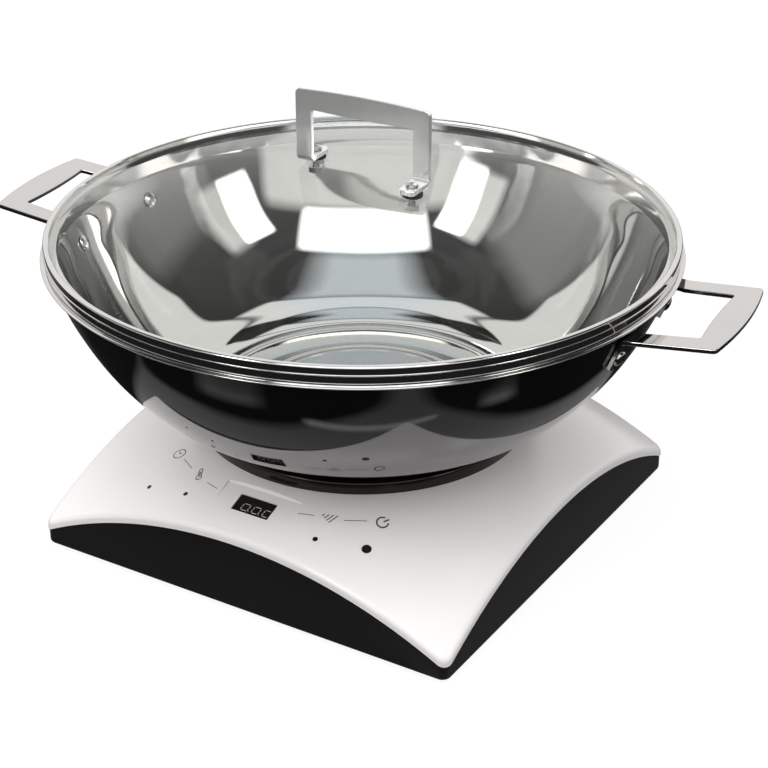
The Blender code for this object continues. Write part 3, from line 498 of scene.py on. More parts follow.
def grown(name, rule, sizes, sharp=35):
    """Runs a rule as a tree of Geometry Nodes, whose inputs are the named sizes, and keeps its mesh."""
    tree = bpy.data.node_groups.new(name, "GeometryNodeTree")
    tree.interface.new_socket("Geometry", in_out="OUTPUT", socket_type="NodeSocketGeometry")
    for label, value in sizes.items():
        tree.interface.new_socket(label, in_out="INPUT", socket_type=SOCKETS[type(value)])
    given = tree.nodes.new("NodeGroupInput")
    links = {label: Link(tree, given.outputs[label]) for label in sizes}
    shape = rule(links)
    real = shape.node("GeometryNodeRealizeInstances", inputs={"Geometry": shape})
    dressed = real.node("GeometryNodeSetMaterial", inputs={"Geometry": real, "Material": links["Material"]})
    real.node("NodeGroupOutput", inputs={0: dressed})
    piece = bpy.data.objects.new(name, bpy.data.meshes.new(name))
    bpy.context.collection.objects.link(piece)
    modifier = piece.modifiers.new("grow", "NODES")
    modifier.node_group = tree
    for item in tree.interface.items_tree:
        if item.in_out == "INPUT":
            modifier[item.identifier] = sizes[item.name]
    settle(piece, sharp)
    piece.data.name = name
    return piece


def row(size):
    """Pieces in a straight row along X, centred on a place: air slots and the like."""
    count = size["Count"]
    start = size["X"] - (count - 1.0) * size["Spacing"] * 0.5
    first = start.joined(start, size["Y"], size["Z"])
    step = start.joined(size["Spacing"])
    places = {"Count": count, "Start Location": first, "Offset": step}
    line = start.node("GeometryNodeMeshLine", inputs=places)
    shape = start.node("GeometryNodeObjectInfo", inputs={"Object": size["Piece"]}, output="Geometry")
    return start.node("GeometryNodeInstanceOnPoints", inputs={"Points": line, "Instance": shape})


housing_look = moulded_black("housing_grain", 1500.0, 0.00006, 0.38)
outer = HOB_HALF - 0.0006
shoulder = outer - 0.0012
spigot_outer = HOB_HALF - LIP_WIDTH - GAP
spigot_inner = spigot_outer - SPIGOT_WIDTH
inner = outer - HOUSING_WALL
rounding = arc((outer - HOUSING_ROUNDING, FLOOR_Z + HOUSING_ROUNDING), HOUSING_ROUNDING, -90, 0, 6)
housing_rings = [level_ring(x, z) for x, z in rounding]
housing_rings += [
    seam_ring(outer, -0.0011),
    seam_ring(outer - 0.0002, -0.0009),
    seam_ring(shoulder, -0.0009),
    seam_ring(shoulder, -GAP),
    seam_ring(spigot_outer, -GAP),
    seam_ring(spigot_outer, SPIGOT_HEIGHT),
    seam_ring(spigot_inner, SPIGOT_HEIGHT),
    seam_ring(spigot_inner, -0.0015),
    seam_ring(inner, -0.0030),
    level_ring(inner, FLOOR_TOP_Z),
]
housing = lofted("housing", housing_rings, housing_look)
board_corners = [(x, y + BOARD_CENTRE_Y) for x, y in corner_places(*BOARD_HOLES)]
screw_corners = corner_places(*SCREW_PLACE)
post_low = dome_z(*SCREW_PLACE) - POST_LOW_DROP
post_foot = FLOOR_TOP_Z - 0.001
posts = pins(BOARD_POST_RADIUS, post_foot, BOARD_POST_TOP_Z, board_corners, housing_look)
posts += pins(BOSS_RADIUS, post_foot, post_low - GAP, screw_corners, housing_look)
combine(housing, posts, "UNION")
one_slot = block("one_slot", SLOT_SIZE, Matrix.Identity(4), housing_look)
cutters = [grown("slots", row, {
    "Piece": one_slot, "Material": housing_look, "Count": 8, "Spacing": SLOT_PITCH,
    "X": SLOTS_PLACE[0], "Y": SLOTS_PLACE[1], "Z": SLOTS_PLACE[2],
})]
bpy.data.objects.remove(one_slot)
cutters += pins(SCREW_HOLE, 0.0, SCREW_TOP_Z, screw_corners, housing_look)
cutters += pins(SCREW_BORE, 0.0, SCREW_SEAT_Z, screw_corners, housing_look)
cutters += pins(FOOT_HOLE, 0.0, 0.010, corner_places(FOOT_PLACE, FOOT_PLACE), housing_look)
for i in range(7):
    shift = (i - 3) * INTAKE_PITCH
    size = (0.005, 2 * math.sqrt(INTAKE_RADIUS**2 - shift**2), 0.010)
    place = Matrix.Translation((FAN_CENTRE[0] + shift, FAN_CENTRE[1], FLOOR_Z))
    cutters.append(block("intake", size, place, housing_look))
gland_turn = Matrix.Translation(GLAND_PLACE) @ Matrix.Rotation(math.pi / 2, 4, "X")
cutters.append(pin(GLAND_HOLE, -0.010, 0.010, gland_turn, housing_look))
combine(housing, cutters, "DIFFERENCE")
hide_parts("lower_housing")
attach(housing, "hob")


# Top cover: one gloss white ABS moulding, a sail vault: a spherical dome cut square, so that its lip runs
# up and down along each side. It has a round opening for the plate ring and a flat pad for the display.

COVER_OPENING = 0.0935
COVER_WALL = 0.003
LIP_FILLET = 0.0025
PANEL_HALF_WIDTH = 0.0244
PANEL_REAR_Y = -0.102
PANEL_FRONT_Y = -0.127
PANEL_SLOPE = math.atan(0.328)
PANEL_FLARE = 0.002
WINDOW_SIZE = (0.0234, 0.0114)
WINDOW_CENTRE_Y = -0.1135
TOUCH_SPOTS = {
    "clock": (-0.0712, -0.1153, 0.00135),
    "temperature": (-0.0442, -0.1171, 0.00135),
    "level": (0.0432, -0.1186, 0.00145),
    "power": (0.0704, -0.1100, 0.0027),
}


def vault(size):
    """The cover's shell from its rule: every point lies on the sphere above a rounded square's ray."""
    fillet_rows = size["Count fillet"]
    under_rows = size["Count under"]
    under_start = fillet_rows + size["Count dome"] + 2.0
    last = under_start + under_rows + 2.0
    around = size["Count around"] + 1.0
    counts = {"Size X": 1.0, "Size Y": 1.0, "Vertices X": around, "Vertices Y": last + 1.0}
    grid = last.node("GeometryNodeMeshGrid", inputs=counts)
    place = last.node("GeometryNodeInputPosition")
    row = last.maths("ROUND", (place.axis("Y") + 0.5) * last)

    share = (row - fillet_rows - 1.0) / size["Count dome"]
    under = row.above(under_start - 0.5) * row.below(last - 0.5)
    bottom = (row.below(0.5) + row.above(last - 1.5)).clamped()
    angle = ((row - 1.0) / fillet_rows).clamped() * (math.pi / 2)
    cosine = row.maths("COSINE", angle)
    sine = row.maths("SINE", angle)
    on_fillet = row.below(last - 0.5)
    half_out = size["Half width"] - size["Lip fillet"] * (1.0 - cosine) * on_fillet
    half = under.either(half_out, size["Half width"] - size["Lip width"])
    back_share = 1.0 - (row - under_start) / under_rows
    inwards = under.either(share.clamped(), back_share.clamped()) * on_fillet

    quarters = (place.axis("X") + 0.5) * 4.0
    quarter = row.maths("FLOOR", quarters + 1e-5)
    along = row.maths("SINE", ((quarters - quarter) * 2.0 - 1.0) * (math.pi / 2))

    def outline_point(half_width):
        """A point of the rounded square: the square's own point drawn in to its corner's arc."""
        corner = row.maths("MAXIMUM", size["Corner"] - (size["Half width"] - half_width), 0.0015)
        straight = half_width - corner
        wanted = along * half_width
        held = row.maths("MINIMUM", row.maths("MAXIMUM", wanted, -straight), straight)
        over = wanted - held
        length = row.maths("SQRT", corner * corner + over * over)
        flat = row.joined(straight + corner * corner / length, held + corner * over / length)
        turned_by = {"Vector": flat, "Angle": quarter * (math.pi / 2)}
        return row.node("ShaderNodeVectorRotate", {"rotation_type": "Z_AXIS"}, turned_by)

    def sphere_z(x, y):
        return size["Seam centre"] + row.maths("SQRT", size["Dome radius"] ** 2.0 - x * x - y * y)

    edge = outline_point(half)
    reach = edge.radius()
    scale = inwards.either(reach, size["Opening"]) / reach
    x = edge.axis("X") * scale
    y = edge.axis("Y") * scale
    drop = under.either(size["Lip fillet"] * (1.0 - sine), size["Wall"])
    rim = outline_point(size["Half width"] + 0.0)
    seam = sphere_z(rim.axis("X"), rim.axis("Y"))
    z = bottom.either(sphere_z(x, y) + size["Lip height"] - drop, seam)
    placed = {"Geometry": grid, "Position": row.joined(x, y, z)}
    moved = row.node("GeometryNodeSetPosition", inputs=placed)
    return row.node("GeometryNodeMergeByDistance", inputs={"Geometry": moved, "Distance": 1e-6})


def panel_frame():
    """The display pad's flat: origin at the window's centre, its own Z out of the cover."""
    z = dome_z(0.0, PANEL_FRONT_Y) + (WINDOW_CENTRE_Y - PANEL_FRONT_Y) * math.tan(PANEL_SLOPE)
    return Matrix.Translation((0.0, WINDOW_CENTRE_Y, z)) @ Matrix.Rotation(PANEL_SLOPE, 4, "X")


def dome_frame(x, y):
    """A place on the dome with its Z along the surface's normal."""
    z = dome_z(x, y)
    return facing((x, y, z), (x, y, z - SEAM_CENTRE_Z - LIP_HEIGHT))


def cover_white():
    """Gloss white ABS, a little warm, with the faint orange peel of a polished mould."""
    look, shader, place = principled("cover_gloss", (0.78, 0.755, 0.75), 0.16, Coat_Roughness=0.05)
    cloud = place.noise(9.0, 3.0)
    feed(shader, cloud.mixed((0.775, 0.745, 0.74), (0.79, 0.768, 0.762)), "Base Color")
    feed(shader, cloud * 0.06 + 0.13, "Roughness")
    feed_bump(shader, place.noise(420.0, 1.0), 0.12, 0.00008)
    return look


white = cover_white()
cover = grown("cover", vault, {
    "Material": white, "Half width": HOB_HALF, "Corner": HOB_CORNER, "Opening": COVER_OPENING,
    "Dome radius": DOME_RADIUS, "Seam centre": SEAM_CENTRE_Z, "Lip height": LIP_HEIGHT,
    "Lip fillet": LIP_FILLET, "Lip width": LIP_WIDTH, "Wall": COVER_WALL,
    "Count around": 352, "Count fillet": 8, "Count dome": 30, "Count under": 12,
})
cover_mesh = bmesh.new()
cover_mesh.from_mesh(cover.data)
bmesh.ops.recalc_face_normals(cover_mesh, faces=cover_mesh.faces)
cover_mesh.to_mesh(cover.data)
cover_mesh.free()
post_top = dome_z(*SCREW_PLACE) - POST_TOP_DROP
combine(cover, pins(POST_RADIUS, post_low, post_top, screw_corners, white), "UNION")
pad = panel_frame()
pad_rear = (PANEL_REAR_Y - WINDOW_CENTRE_Y) / math.cos(PANEL_SLOPE)
pad_front = (PANEL_FRONT_Y - WINDOW_CENTRE_Y) / math.cos(PANEL_SLOPE) - PANEL_FLARE
pad_rings = []
for rise, half, rear in (
    (0.0, PANEL_HALF_WIDTH, pad_rear - 0.0008),
    (0.010, PANEL_HALF_WIDTH + PANEL_FLARE, pad_rear + 0.008),
):
    flat = ((-half, pad_front), (half, pad_front), (half, rear), (-half, rear))
    pad_rings.append([pad @ Vector((x, y, rise)) for x, y in flat])
cutters = [
    lofted("pad_cutter", pad_rings, white),
    block("window_hole", (WINDOW_SIZE[0] + 2 * GAP, WINDOW_SIZE[1] + 2 * GAP, 0.012), pad, white),
]
for x, y, radius in TOUCH_SPOTS.values():
    cutters.append(pin(radius + 0.0001, -0.006, 0.004, dome_frame(x, y), white))
cutters += pins(SCREW_HOLE, 0.0, SCREW_TOP_Z + 0.001, screw_corners, white)
combine(cover, cutters, "DIFFERENCE", sharp=25)
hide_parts("top_cover")
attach(cover, "hob")


# Printed marks: thin dark ink on the dome, with a generic sign for each touch spot, a clock, a thermometer,
# bars for the level and a power sign, joined by short lines that follow the dome's arc.

INK_HEIGHT = 0.00005
INK_SINK = 0.00004
SIGN_UNIT = 0.0016
TIE_WIDTH = 0.00035


def ink_strip(mesh_data, points, width):
    """A closed ribbon of ink along points on the cover, as (x, y)."""
    rings = []
    for i, point in enumerate(points):
        before = Vector(points[max(i - 1, 0)])
        after = Vector(points[min(i + 1, len(points) - 1)])
        ahead = (after - before).normalized()
        aside = Vector((-ahead.y, ahead.x)) * width / 2
        left = Vector(point) + aside
        right = Vector(point) - aside
        ring = []
        for spot, rise in ((left, INK_HEIGHT), (right, INK_HEIGHT), (right, -INK_SINK), (left, -INK_SINK)):
            ring.append(mesh_data.verts.new((spot.x, spot.y, dome_z(spot.x, spot.y) + rise)))
        rings.append(ring)
    skin(mesh_data, rings, "open" if points[0] == points[-1] else "flat")


def print_ink():
    """Matt dark ink, a little uneven where the pad pressed it on."""
    look, shader, place = principled("print_ink", (0.035, 0.032, 0.032), 0.45)
    wear = place.noise(2200.0, 2.0)
    feed(shader, wear.mixed((0.02, 0.019, 0.019), (0.06, 0.055, 0.055)), "Base Color")
    feed(shader, wear * 0.2 + 0.35, "Roughness")
    return look


CLOCK = [arc((0.0, 0.0), 2.2, 0, 360, 28), [(0.0, 1.35), (0.0, 0.0), (1.0, -0.6)]]
THERMOMETER = [
    [(0.55, -0.75), (0.55, 2.0), (0.4, 2.4), (0.0, 2.55), (-0.4, 2.4), (-0.55, 2.0), (-0.55, -0.75)],
    [(x, y - 1.6) for x, y in arc((0.0, 0.0), 1.0, 57, -237, 20)],
    [(0.0, 1.0), (0.0, -1.6)],
]
BARS = [[(x, -2.0), (x, top)] for x, top in ((-1.8, -0.9), (-0.6, 0.1), (0.6, 1.1), (1.8, 2.1))]
POWER = [arc((0.0, -0.2), 2.0, 125, 415, 28), [(0.0, 2.3), (0.0, 0.2)]]
SIGNS = (
    # strokes in units of the sign, place, turn in degrees, width of a stroke
    (CLOCK, (-0.0685, -0.0894), 30, 0.00055),
    (THERMOMETER, (-0.0446, -0.1026), 20, 0.00055),
    (BARS, (0.0426, -0.1028), -20, 0.00060),
    (POWER, (0.0694, -0.0914), -30, 0.00090),
)
TIES = (
    ((-0.0621, -0.0935), (-0.0526, -0.0994)),
    ((-0.0361, -0.1073), (-0.0275, -0.1100)),
    ((0.0260, -0.1092), (0.0348, -0.1065)),
    ((0.0509, -0.1016), (0.0617, -0.0955)),
)
ink = bmesh.new()
for strokes, place, degrees, width in SIGNS:
    rotation = Matrix.Rotation(math.radians(degrees), 2)
    for stroke in strokes:
        points = [tuple(Vector(place) + rotation @ Vector(point) * SIGN_UNIT) for point in stroke]
        ink_strip(ink, points, width)
for start, end in TIES:
    points = [tuple(Vector(start).lerp(Vector(end), i / 6)) for i in range(7)]
    ink_strip(ink, points, TIE_WIDTH)
marks = kept_mesh("cover_marks", ink, print_ink())
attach(marks, "hob")


# Display: a smoked window of gloss acrylic, level with its pad, over three lit digits.
# It is snapped in from behind and hides the module that carries it.

def gloss_black(name, colour, roughness):
    """Gloss black glass, ceramic or acrylic: nearly a mirror, with faint dust and wipe marks."""
    look, shader, place = principled(name, colour, roughness)
    cloud = place.noise(30.0, 5.0, 0.6)
    feed(shader, cloud * 0.05 + (roughness - 0.02), "Roughness")
    high = tuple(1.6 * part + 0.002 for part in colour)
    feed(shader, cloud.mixed(colour, high), "Base Color")
    feed_bump(shader, cloud, 0.05, 0.0001)
    return look


def digit_light():
    """Lit segments, dimmed by the smoked acrylic over them."""
    look, shader, place = principled("digit_light", (0.3, 0.3, 0.29), 0.5, Emission_Strength=0.14)
    glow = place.noise(900.0, 2.0)
    feed(shader, glow.mixed((0.75, 0.72, 0.66), (1.0, 0.98, 0.92)), "Emission Color")
    return look


window_look = gloss_black("window_acrylic", (0.006, 0.0045, 0.004), 0.08)
window_place = pad @ Matrix.Translation((0.0, 0.0, -0.0008))
window = block("window", (*WINDOW_SIZE, 0.0014), window_place, window_look, 0.00025)
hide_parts("display_window")
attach(window, "hob")

DIGIT_HALF_WIDTH = 0.0022
DIGIT_HALF_HEIGHT = 0.0023
DIGIT_START = (-0.0042, -0.0021)
DIGIT_PITCH = 0.0070
SEGMENT_HALF = 0.00021
SEGMENT_TIP = 0.0001
SEGMENT_DEPTHS = (-0.00015, -0.00005)
CORNER_CUT = 0.0005
MIDDLE_GAP = 0.00035
SLANT = 0.06
WINDOW_EDGE = WINDOW_SIZE[0] / 2 - 0.0007


def segments():
    """The six outer segments of a digit and its point, as lines about the digit's middle."""
    w = DIGIT_HALF_WIDTH
    h = DIGIT_HALF_HEIGHT
    return [
        ((-w + CORNER_CUT, h), (w - CORNER_CUT, h)),
        ((w, h - CORNER_CUT), (w, MIDDLE_GAP)),
        ((w, -MIDDLE_GAP), (w, -h + CORNER_CUT)),
        ((w - CORNER_CUT, -h), (-w + CORNER_CUT, -h)),
        ((-w, -h + CORNER_CUT), (-w, -MIDDLE_GAP)),
        ((-w, MIDDLE_GAP), (-w, h - CORNER_CUT)),
        ((w + 0.0009, -h + 0.0002), (w + 0.0009, -h - 0.0002)),
    ]


digits = bmesh.new()
for i in range(3):
    centre = Vector((DIGIT_START[0] + i * DIGIT_PITCH, DIGIT_START[1]))
    for start, end in segments():
        start = Vector(start) + centre
        end = Vector(end) + centre
        if min(start.x, end.x) > WINDOW_EDGE:
            continue
        start.x = min(start.x, WINDOW_EDGE)
        end.x = min(end.x, WINDOW_EDGE)
        ahead = (end - start).normalized()
        aside = Vector((-ahead.y, ahead.x)) * SEGMENT_HALF
        tip = ahead * SEGMENT_TIP
        flat = [start - tip, start + aside, end + aside, end + tip, end - aside, start - aside]
        rows = []
        for rise in SEGMENT_DEPTHS:
            rows.append([digits.verts.new(pad @ Vector((p.x + SLANT * p.y, p.y, rise))) for p in flat])
        skin(digits, rows, "flat")
lit_digits = kept_mesh("display_digits", digits, digit_light())
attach(lit_digits, "hob")

spot_look = gloss_black("spot_black", (0.008, 0.008, 0.008), 0.2)
dress(spot_look, *[f"touch_spot_{label}" for label in TOUCH_SPOTS])


# Plate ring and cooking plate: a black phenolic ring pressed into the cover's opening,
# and a disc of black glass-ceramic that lies in it.

RING_RADIUS = 0.0965
RING_TOP_Z = 0.0730
RING_INSIDE = 0.0907
RING_SPIGOT = 0.0925
RING_FOOT_Z = 0.0600
LEDGE_RADIUS = 0.0860
LEDGE_THICKNESS = 0.0024
PLATE_RADIUS = 0.0905
PLATE_TOP_Z = 0.0732
PLATE_LOW_Z = 0.0692
ledge_z = PLATE_LOW_Z - GAP
ring_profile = [
    (RING_RADIUS, dome_z(RING_RADIUS, 0) + GAP),
    (RING_RADIUS, RING_TOP_Z - 0.0012),
    *arc((RING_RADIUS - 0.0012, RING_TOP_Z - 0.0012), 0.0012, 10, 90, 6),
    *arc((PLATE_RADIUS + GAP + 0.0004, RING_TOP_Z - 0.0004), 0.0004, 90, 180, 4),
    (PLATE_RADIUS + GAP, ledge_z),
    (LEDGE_RADIUS, ledge_z),
    (LEDGE_RADIUS, ledge_z - LEDGE_THICKNESS),
    (RING_INSIDE, ledge_z - LEDGE_THICKNESS),
    (RING_INSIDE, RING_FOOT_Z),
    (RING_SPIGOT, RING_FOOT_Z),
    (RING_SPIGOT, dome_z(RING_SPIGOT, 0) + GAP),
]
ring_look = gloss_black("ring_phenolic", (0.006, 0.0045, 0.0035), 0.10)
ring = turned("plate_surround", ring_profile, ring_look, 200)
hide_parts("plate_ring")
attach(ring, "hob")

plate_profile = [
    (0.0, PLATE_TOP_Z),
    *reversed(arc((PLATE_RADIUS - 0.0006, PLATE_TOP_Z - 0.0006), 0.0006, 0, 90, 5)),
    (PLATE_RADIUS, PLATE_LOW_Z),
    (0.0, PLATE_LOW_Z),
]
plate = turned("cooking_plate", plate_profile, gloss_black("plate_ceramic", (0.008, 0.008, 0.009), 0.07), 200)
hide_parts("glass_plate")
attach(plate, "hob")


# Parts inside the hob: the coil and its tray, ferrites, mica, sensor, boards, sink and fan.
# They keep their CAD shapes and get the finish of the real ones.

METAL = {"Metallic": 1.0}
WIRE_PITCH = 0.0026


def plain_part(name, low, high, scale, roughness, depth, **constants):
    """A simple procedural finish: two tones, a varying roughness and a fine relief."""
    look, shader, place = principled(name, low, roughness, **constants)
    cloud = place.noise(scale, 4.0)
    feed(shader, cloud.mixed(low, high), "Base Color")
    feed(shader, cloud * 0.15 + (roughness - 0.07), "Roughness")
    feed_bump(shader, cloud, 0.3, depth)
    return look


def copper_winding():
    """Enamelled litz wire, wound flat, each turn a round rib a wire's width apart, with painted shade between
    turns.
    """
    look, shader, place = principled("copper_litz", (0.55, 0.24, 0.10), 0.35, **METAL)
    rib_relief_and_shade = place.maths("ABSOLUTE", place.maths("SINE", place.radius() * (math.pi / WIRE_PITCH)))
    # painted shade: the copper's colour goes dark in the grooves between the turns, where shade would fall
    feed(shader, rib_relief_and_shade.mixed((0.10, 0.035, 0.015), (0.62, 0.28, 0.12)), "Base Color")
    feed_bump(shader, rib_relief_and_shade + place.noise(900.0, 3.0) * 0.3, 0.8, 0.0008)
    return look


dress(copper_winding(), "induction_coil")
inner_look = moulded_black("inner_plastic", 1100.0, 0.00008, 0.5)
dress(inner_look, "coil_former", "fan_frame", "fan_rotor", "display_module")
ferrite_look = plain_part("ferrite_grey", (0.03, 0.03, 0.032), (0.06, 0.058, 0.06), 400.0, 0.6, 0.0002)
dress(ferrite_look, *[f"ferrite_{i + 1}" for i in range(6)])
mica_look = plain_part("mica_sheet", (0.50, 0.45, 0.36), (0.66, 0.61, 0.52), 120.0, 0.5, 0.0001)
dress(mica_look, "insulation_sheet")
sensor_look = plain_part("sensor_metal", (0.55, 0.55, 0.56), (0.68, 0.68, 0.69), 300.0, 0.4, 0.0001, **METAL)
dress(sensor_look, "temperature_sensor")
sink_look = plain_part("sink_aluminium", (0.55, 0.55, 0.56), (0.70, 0.70, 0.71), 200.0, 0.38, 0.0001, **METAL)
dress(sink_look, "heat_sink")
board_look = plain_part("board_laminate", (0.012, 0.085, 0.04), (0.03, 0.15, 0.07), 260.0, 0.4, 0.0002)
dress(board_look, "power_board", "control_board")


# Feet, housing screws and the cord's bush, under and behind the hob, and the spacers of the lid's
# handle: black rubber with a dull bloom, and screws of bright zinc. All keep their CAD shapes.

rubber_look = plain_part("foot_rubber", (0.012, 0.012, 0.012), (0.03, 0.03, 0.03), 500.0, 0.75, 0.0002)
dress(rubber_look, *[f"foot_{i + 1}" for i in range(4)], "cord_gland", "lid_spacer_right", "lid_spacer_left")
screw_look = plain_part("screw_zinc", (0.45, 0.45, 0.46), (0.62, 0.62, 0.62), 700.0, 0.28, 0.0001, **METAL)
dress(screw_look, *[f"housing_screw_{i + 1}" for i in range(4)])


# Wok: pressed steel, enamelled gloss black outside and mirror polished inside, with a thick flat base,
# two pressed steps in its floor and a narrow flange on which the lid's ring lies.

WOK_PROFILE = [
    (0.0915, 0.0735),
    (0.0929, 0.0742),
    (0.1003, 0.0802),
    (0.1203, 0.0901),
    (0.1383, 0.1061),
    (0.1541, 0.1260),
    (0.1674, 0.1499),
    (0.1772, 0.1737),
]
WOK_WALL = 0.0016
ENAMEL = 0.0007
SPLIT = 0.00005
WOK_BOTTOM_Z = 0.0735
WOK_FLOOR_Z = 0.0775
WOK_RIM_Z = 0.1755


def smooth_line(points, steps):
    """More points along a line of points, on a smooth curve through each of them."""
    vectors = [Vector(point) for point in points]
    ends = [2 * vectors[0] - vectors[1], *vectors, 2 * vectors[-1] - vectors[-2]]
    line = []
    for a, b, c, d in zip(ends, ends[1:], ends[2:], ends[3:]):
        for i in range(steps):
            t = i / steps
            move = (c - a) * t + (2 * a - 5 * b + 4 * c - d) * t**2 + (3 * b - a - 3 * c + d) * t**3
            line.append(b + move / 2)
    return line + [vectors[-1]]


def shifted_line(points, distance):
    """The line of points moved sideways, towards the bowl's inside."""
    line = [Vector(point) for point in points]
    moved = []
    for i, point in enumerate(line):
        ahead = (line[min(i + 1, len(line) - 1)] - line[max(i - 1, 0)]).normalized()
        moved.append(point + Vector((-ahead.y, ahead.x)) * distance)
    return moved


def wall_radius(z):
    """Radius of the wok's outer wall at a height."""
    for (r0, z0), (r1, z1) in zip(WOK_PROFILE, WOK_PROFILE[1:]):
        if z0 <= z <= z1:
            return r0 + (r1 - r0) * (z - z0) / (z1 - z0)
    return WOK_PROFILE[-1][0]


def enamel_black():
    """Black vitreous enamel: a deep gloss with a slow waviness from its firing."""
    look, shader, place = principled(
        "enamel_gloss", (0.006, 0.006, 0.0065), 0.05, IOR=1.6, Coat_Weight=0.6, Coat_Roughness=0.03)
    wave = place.noise(34.0, 1.0)
    feed(shader, wave.mixed((0.0025, 0.0025, 0.003), (0.005, 0.0045, 0.005)), "Base Color")
    feed(shader, wave * 0.03 + 0.04, "Roughness")
    feed_bump(shader, wave + place.noise(300.0, 1.0) * 0.05, 0.10, 0.0004)
    return look


def polished_steel(name, colour, roughness, lines):
    """Mirror-polished steel: faint waviness from the press and fine lines round the axis from the wheel."""
    look, shader, place = principled(name, colour, roughness, **METAL)
    scratch = place.joined(place.radius(), place.axis("Z")).noise(lines, 3.0)
    feed(shader, scratch.mixed([0.94 * part for part in colour], colour), "Base Color")
    feed(shader, scratch * 0.02 + (roughness - 0.010), "Roughness")
    feed_bump(shader, place.noise(14.0, 1.0), 1.0, 0.0001)
    return look


outer_line = smooth_line(WOK_PROFILE[1:], 6)
enamel_profile = [(0.0, WOK_BOTTOM_Z), (0.0905, WOK_BOTTOM_Z), (0.0922, WOK_BOTTOM_Z + 0.0003)]
enamel_profile += outer_line
enamel_profile += reversed(shifted_line(outer_line, ENAMEL))
enamel_profile.append((0.0, WOK_BOTTOM_Z + ENAMEL))
shell = turned("wok_enamel", enamel_profile, enamel_black(), 256, sharp=50)

inner_points = [(0.0882, 0.0776), (0.0920, 0.0780), (0.0960, 0.0790), (0.1000, 0.0810), (0.1040, 0.0838)]
inner_points += shifted_line(WOK_PROFILE[3:], WOK_WALL)
steel_profile = [(0.0, WOK_BOTTOM_Z + ENAMEL + SPLIT)]
steel_profile += shifted_line(outer_line, ENAMEL + SPLIT)[2:]
steel_profile += [(0.1780, 0.1739), (0.1801, 0.1739), *arc((0.1801, 0.1744), 0.0005, -80, 60, 5)]
steel_profile += [(0.1795, 0.1753), (0.1775, WOK_RIM_Z), (0.1768, 0.1754), (0.1763, 0.1750)]
steel_profile += reversed(smooth_line(inner_points, 8)[:-1])
floor_steps = (
    (0.0876, 0.0), (0.0870, -0.0003), (0.0864, -0.0003), (0.0858, 0.0), (0.0852, 0.0), (0.0680, 0.0),
    (0.0674, 0.0), (0.0664, -0.0001), (0.0650, -0.0003), (0.0632, -0.0006), (0.0616, -0.0008),
    (0.0604, -0.0009), (0.0598, -0.0009), (0.0590, -0.0007), (0.0582, -0.0007), (0.0576, -0.0007),
    (0.0, -0.0007),
)
steel_profile += [(radius, WOK_FLOOR_Z + step) for radius, step in floor_steps]
bowl_look = polished_steel("bowl_steel", (0.73, 0.725, 0.71), 0.035, 420.0)
bowl = turned("wok_steel", steel_profile, bowl_look, 256, sharp=50)

HANDLE_TURN = math.radians(5.5)
RIVET_ANGLE = math.radians(12.6)
RIVET_Z = 0.1560
RIVET_HOLE = 0.0030
HANDLE_PLATE = 0.0025
wall_slope = (Vector(WOK_PROFILE[-1]) - Vector(WOK_PROFILE[-2])).normalized()
WALL_NORMAL = Vector((wall_slope.y, -wall_slope.x))


def rivet_pins(low, high, sides, look):
    """Pins at the rivets of some sides, along the wall's normal and measured from the wall."""
    radius = wall_radius(RIVET_Z)
    made = []
    for side in sides:
        for angle in (RIVET_ANGLE, -RIVET_ANGLE):
            heading = HANDLE_TURN + side * math.pi + angle
            across = math.cos(heading)
            along = math.sin(heading)
            normal = (across * WALL_NORMAL.x, along * WALL_NORMAL.x, WALL_NORMAL.y)
            frame_out = facing((radius * across, radius * along, RIVET_Z), normal)
            made.append(pin(RIVET_HOLE, low, high, frame_out, look, 24))
    return made


for part in (shell, bowl):
    combine(part, rivet_pins(-0.012, 0.012, (0, 1), part.data.materials[0]), "DIFFERENCE", sharp=50)
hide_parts("wok_bowl")
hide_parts("wok_bowl")
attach(shell, "wok")
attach(bowl, "wok")


# Side handles: each is one flat steel bar, polished, bent to a bow that rises a little outwards,
# with a tab at each end that is turned down against the wok's wall and riveted there.

HANDLE_ROOT = (0.180, 0.169)
HANDLE_SLOPE = 0.099
HANDLE_REACH = 0.221
HANDLE_HALF = 0.0419
HANDLE_ROOT_HALF = 0.0432
ARM_START = 0.1795
GRIP_INNER = 0.2085
GRIP_INNER_HALF = 0.0293
ROOT_INNER_HALF = 0.0308
GRIP_BULGE = 0.0035
GRIP_INNER_BULGE = 0.0012
GRIP_CORNER = 0.0028
GRIP_INNER_CORNER = 0.0016
TAB_ANGLE = math.radians(12.4)
TAB_WIDTH = 0.0122
TAB_BOTTOM_Z = 0.1485
TAB_BEND = 0.004


def handle_top_z(u):
    return HANDLE_ROOT[1] + HANDLE_SLOPE * (u - HANDLE_ROOT[0])


def tab_section():
    """The bar's top face in one arm, from the tab's foot up the wall and round the bend."""
    plate_angle = math.atan(HANDLE_SLOPE)
    plate = Vector((math.sin(plate_angle), -math.cos(plate_angle)))
    up = Vector((-WALL_NORMAL.y, WALL_NORMAL.x))
    out = Vector((math.cos(plate_angle), math.sin(plate_angle)))
    z = HANDLE_ROOT[1]
    for _ in range(6):
        z = handle_top_z(wall_radius(z) + GAP)
    corner = Vector((wall_radius(z) + GAP + 0.0001, z))
    turn = math.acos(max(-1.0, min(1.0, up.dot(out))))
    tangent = TAB_BEND * math.tan(turn / 2)
    centre = corner - up * tangent + WALL_NORMAL * TAB_BEND
    foot = (TAB_BOTTOM_Z - corner.y) / up.y
    section = []
    for share in (0, 0.02, 0.05, 0.1, 1):
        section.append((corner + up * (foot * (1 - share) - tangent * share), WALL_NORMAL))
    for step in range(1, 8):
        normal = (WALL_NORMAL * (1 - step / 8) + plate * step / 8).normalized()
        section.append((centre - normal * TAB_BEND, normal))
    section.append((corner + out * tangent, plate))
    return section


def bar_corners(outer, inner, normal):
    """Four corners of the flat bar at one station, from two points of its top face."""
    down = Vector(normal) * HANDLE_PLATE
    return [outer, inner, inner + down, outer + down]


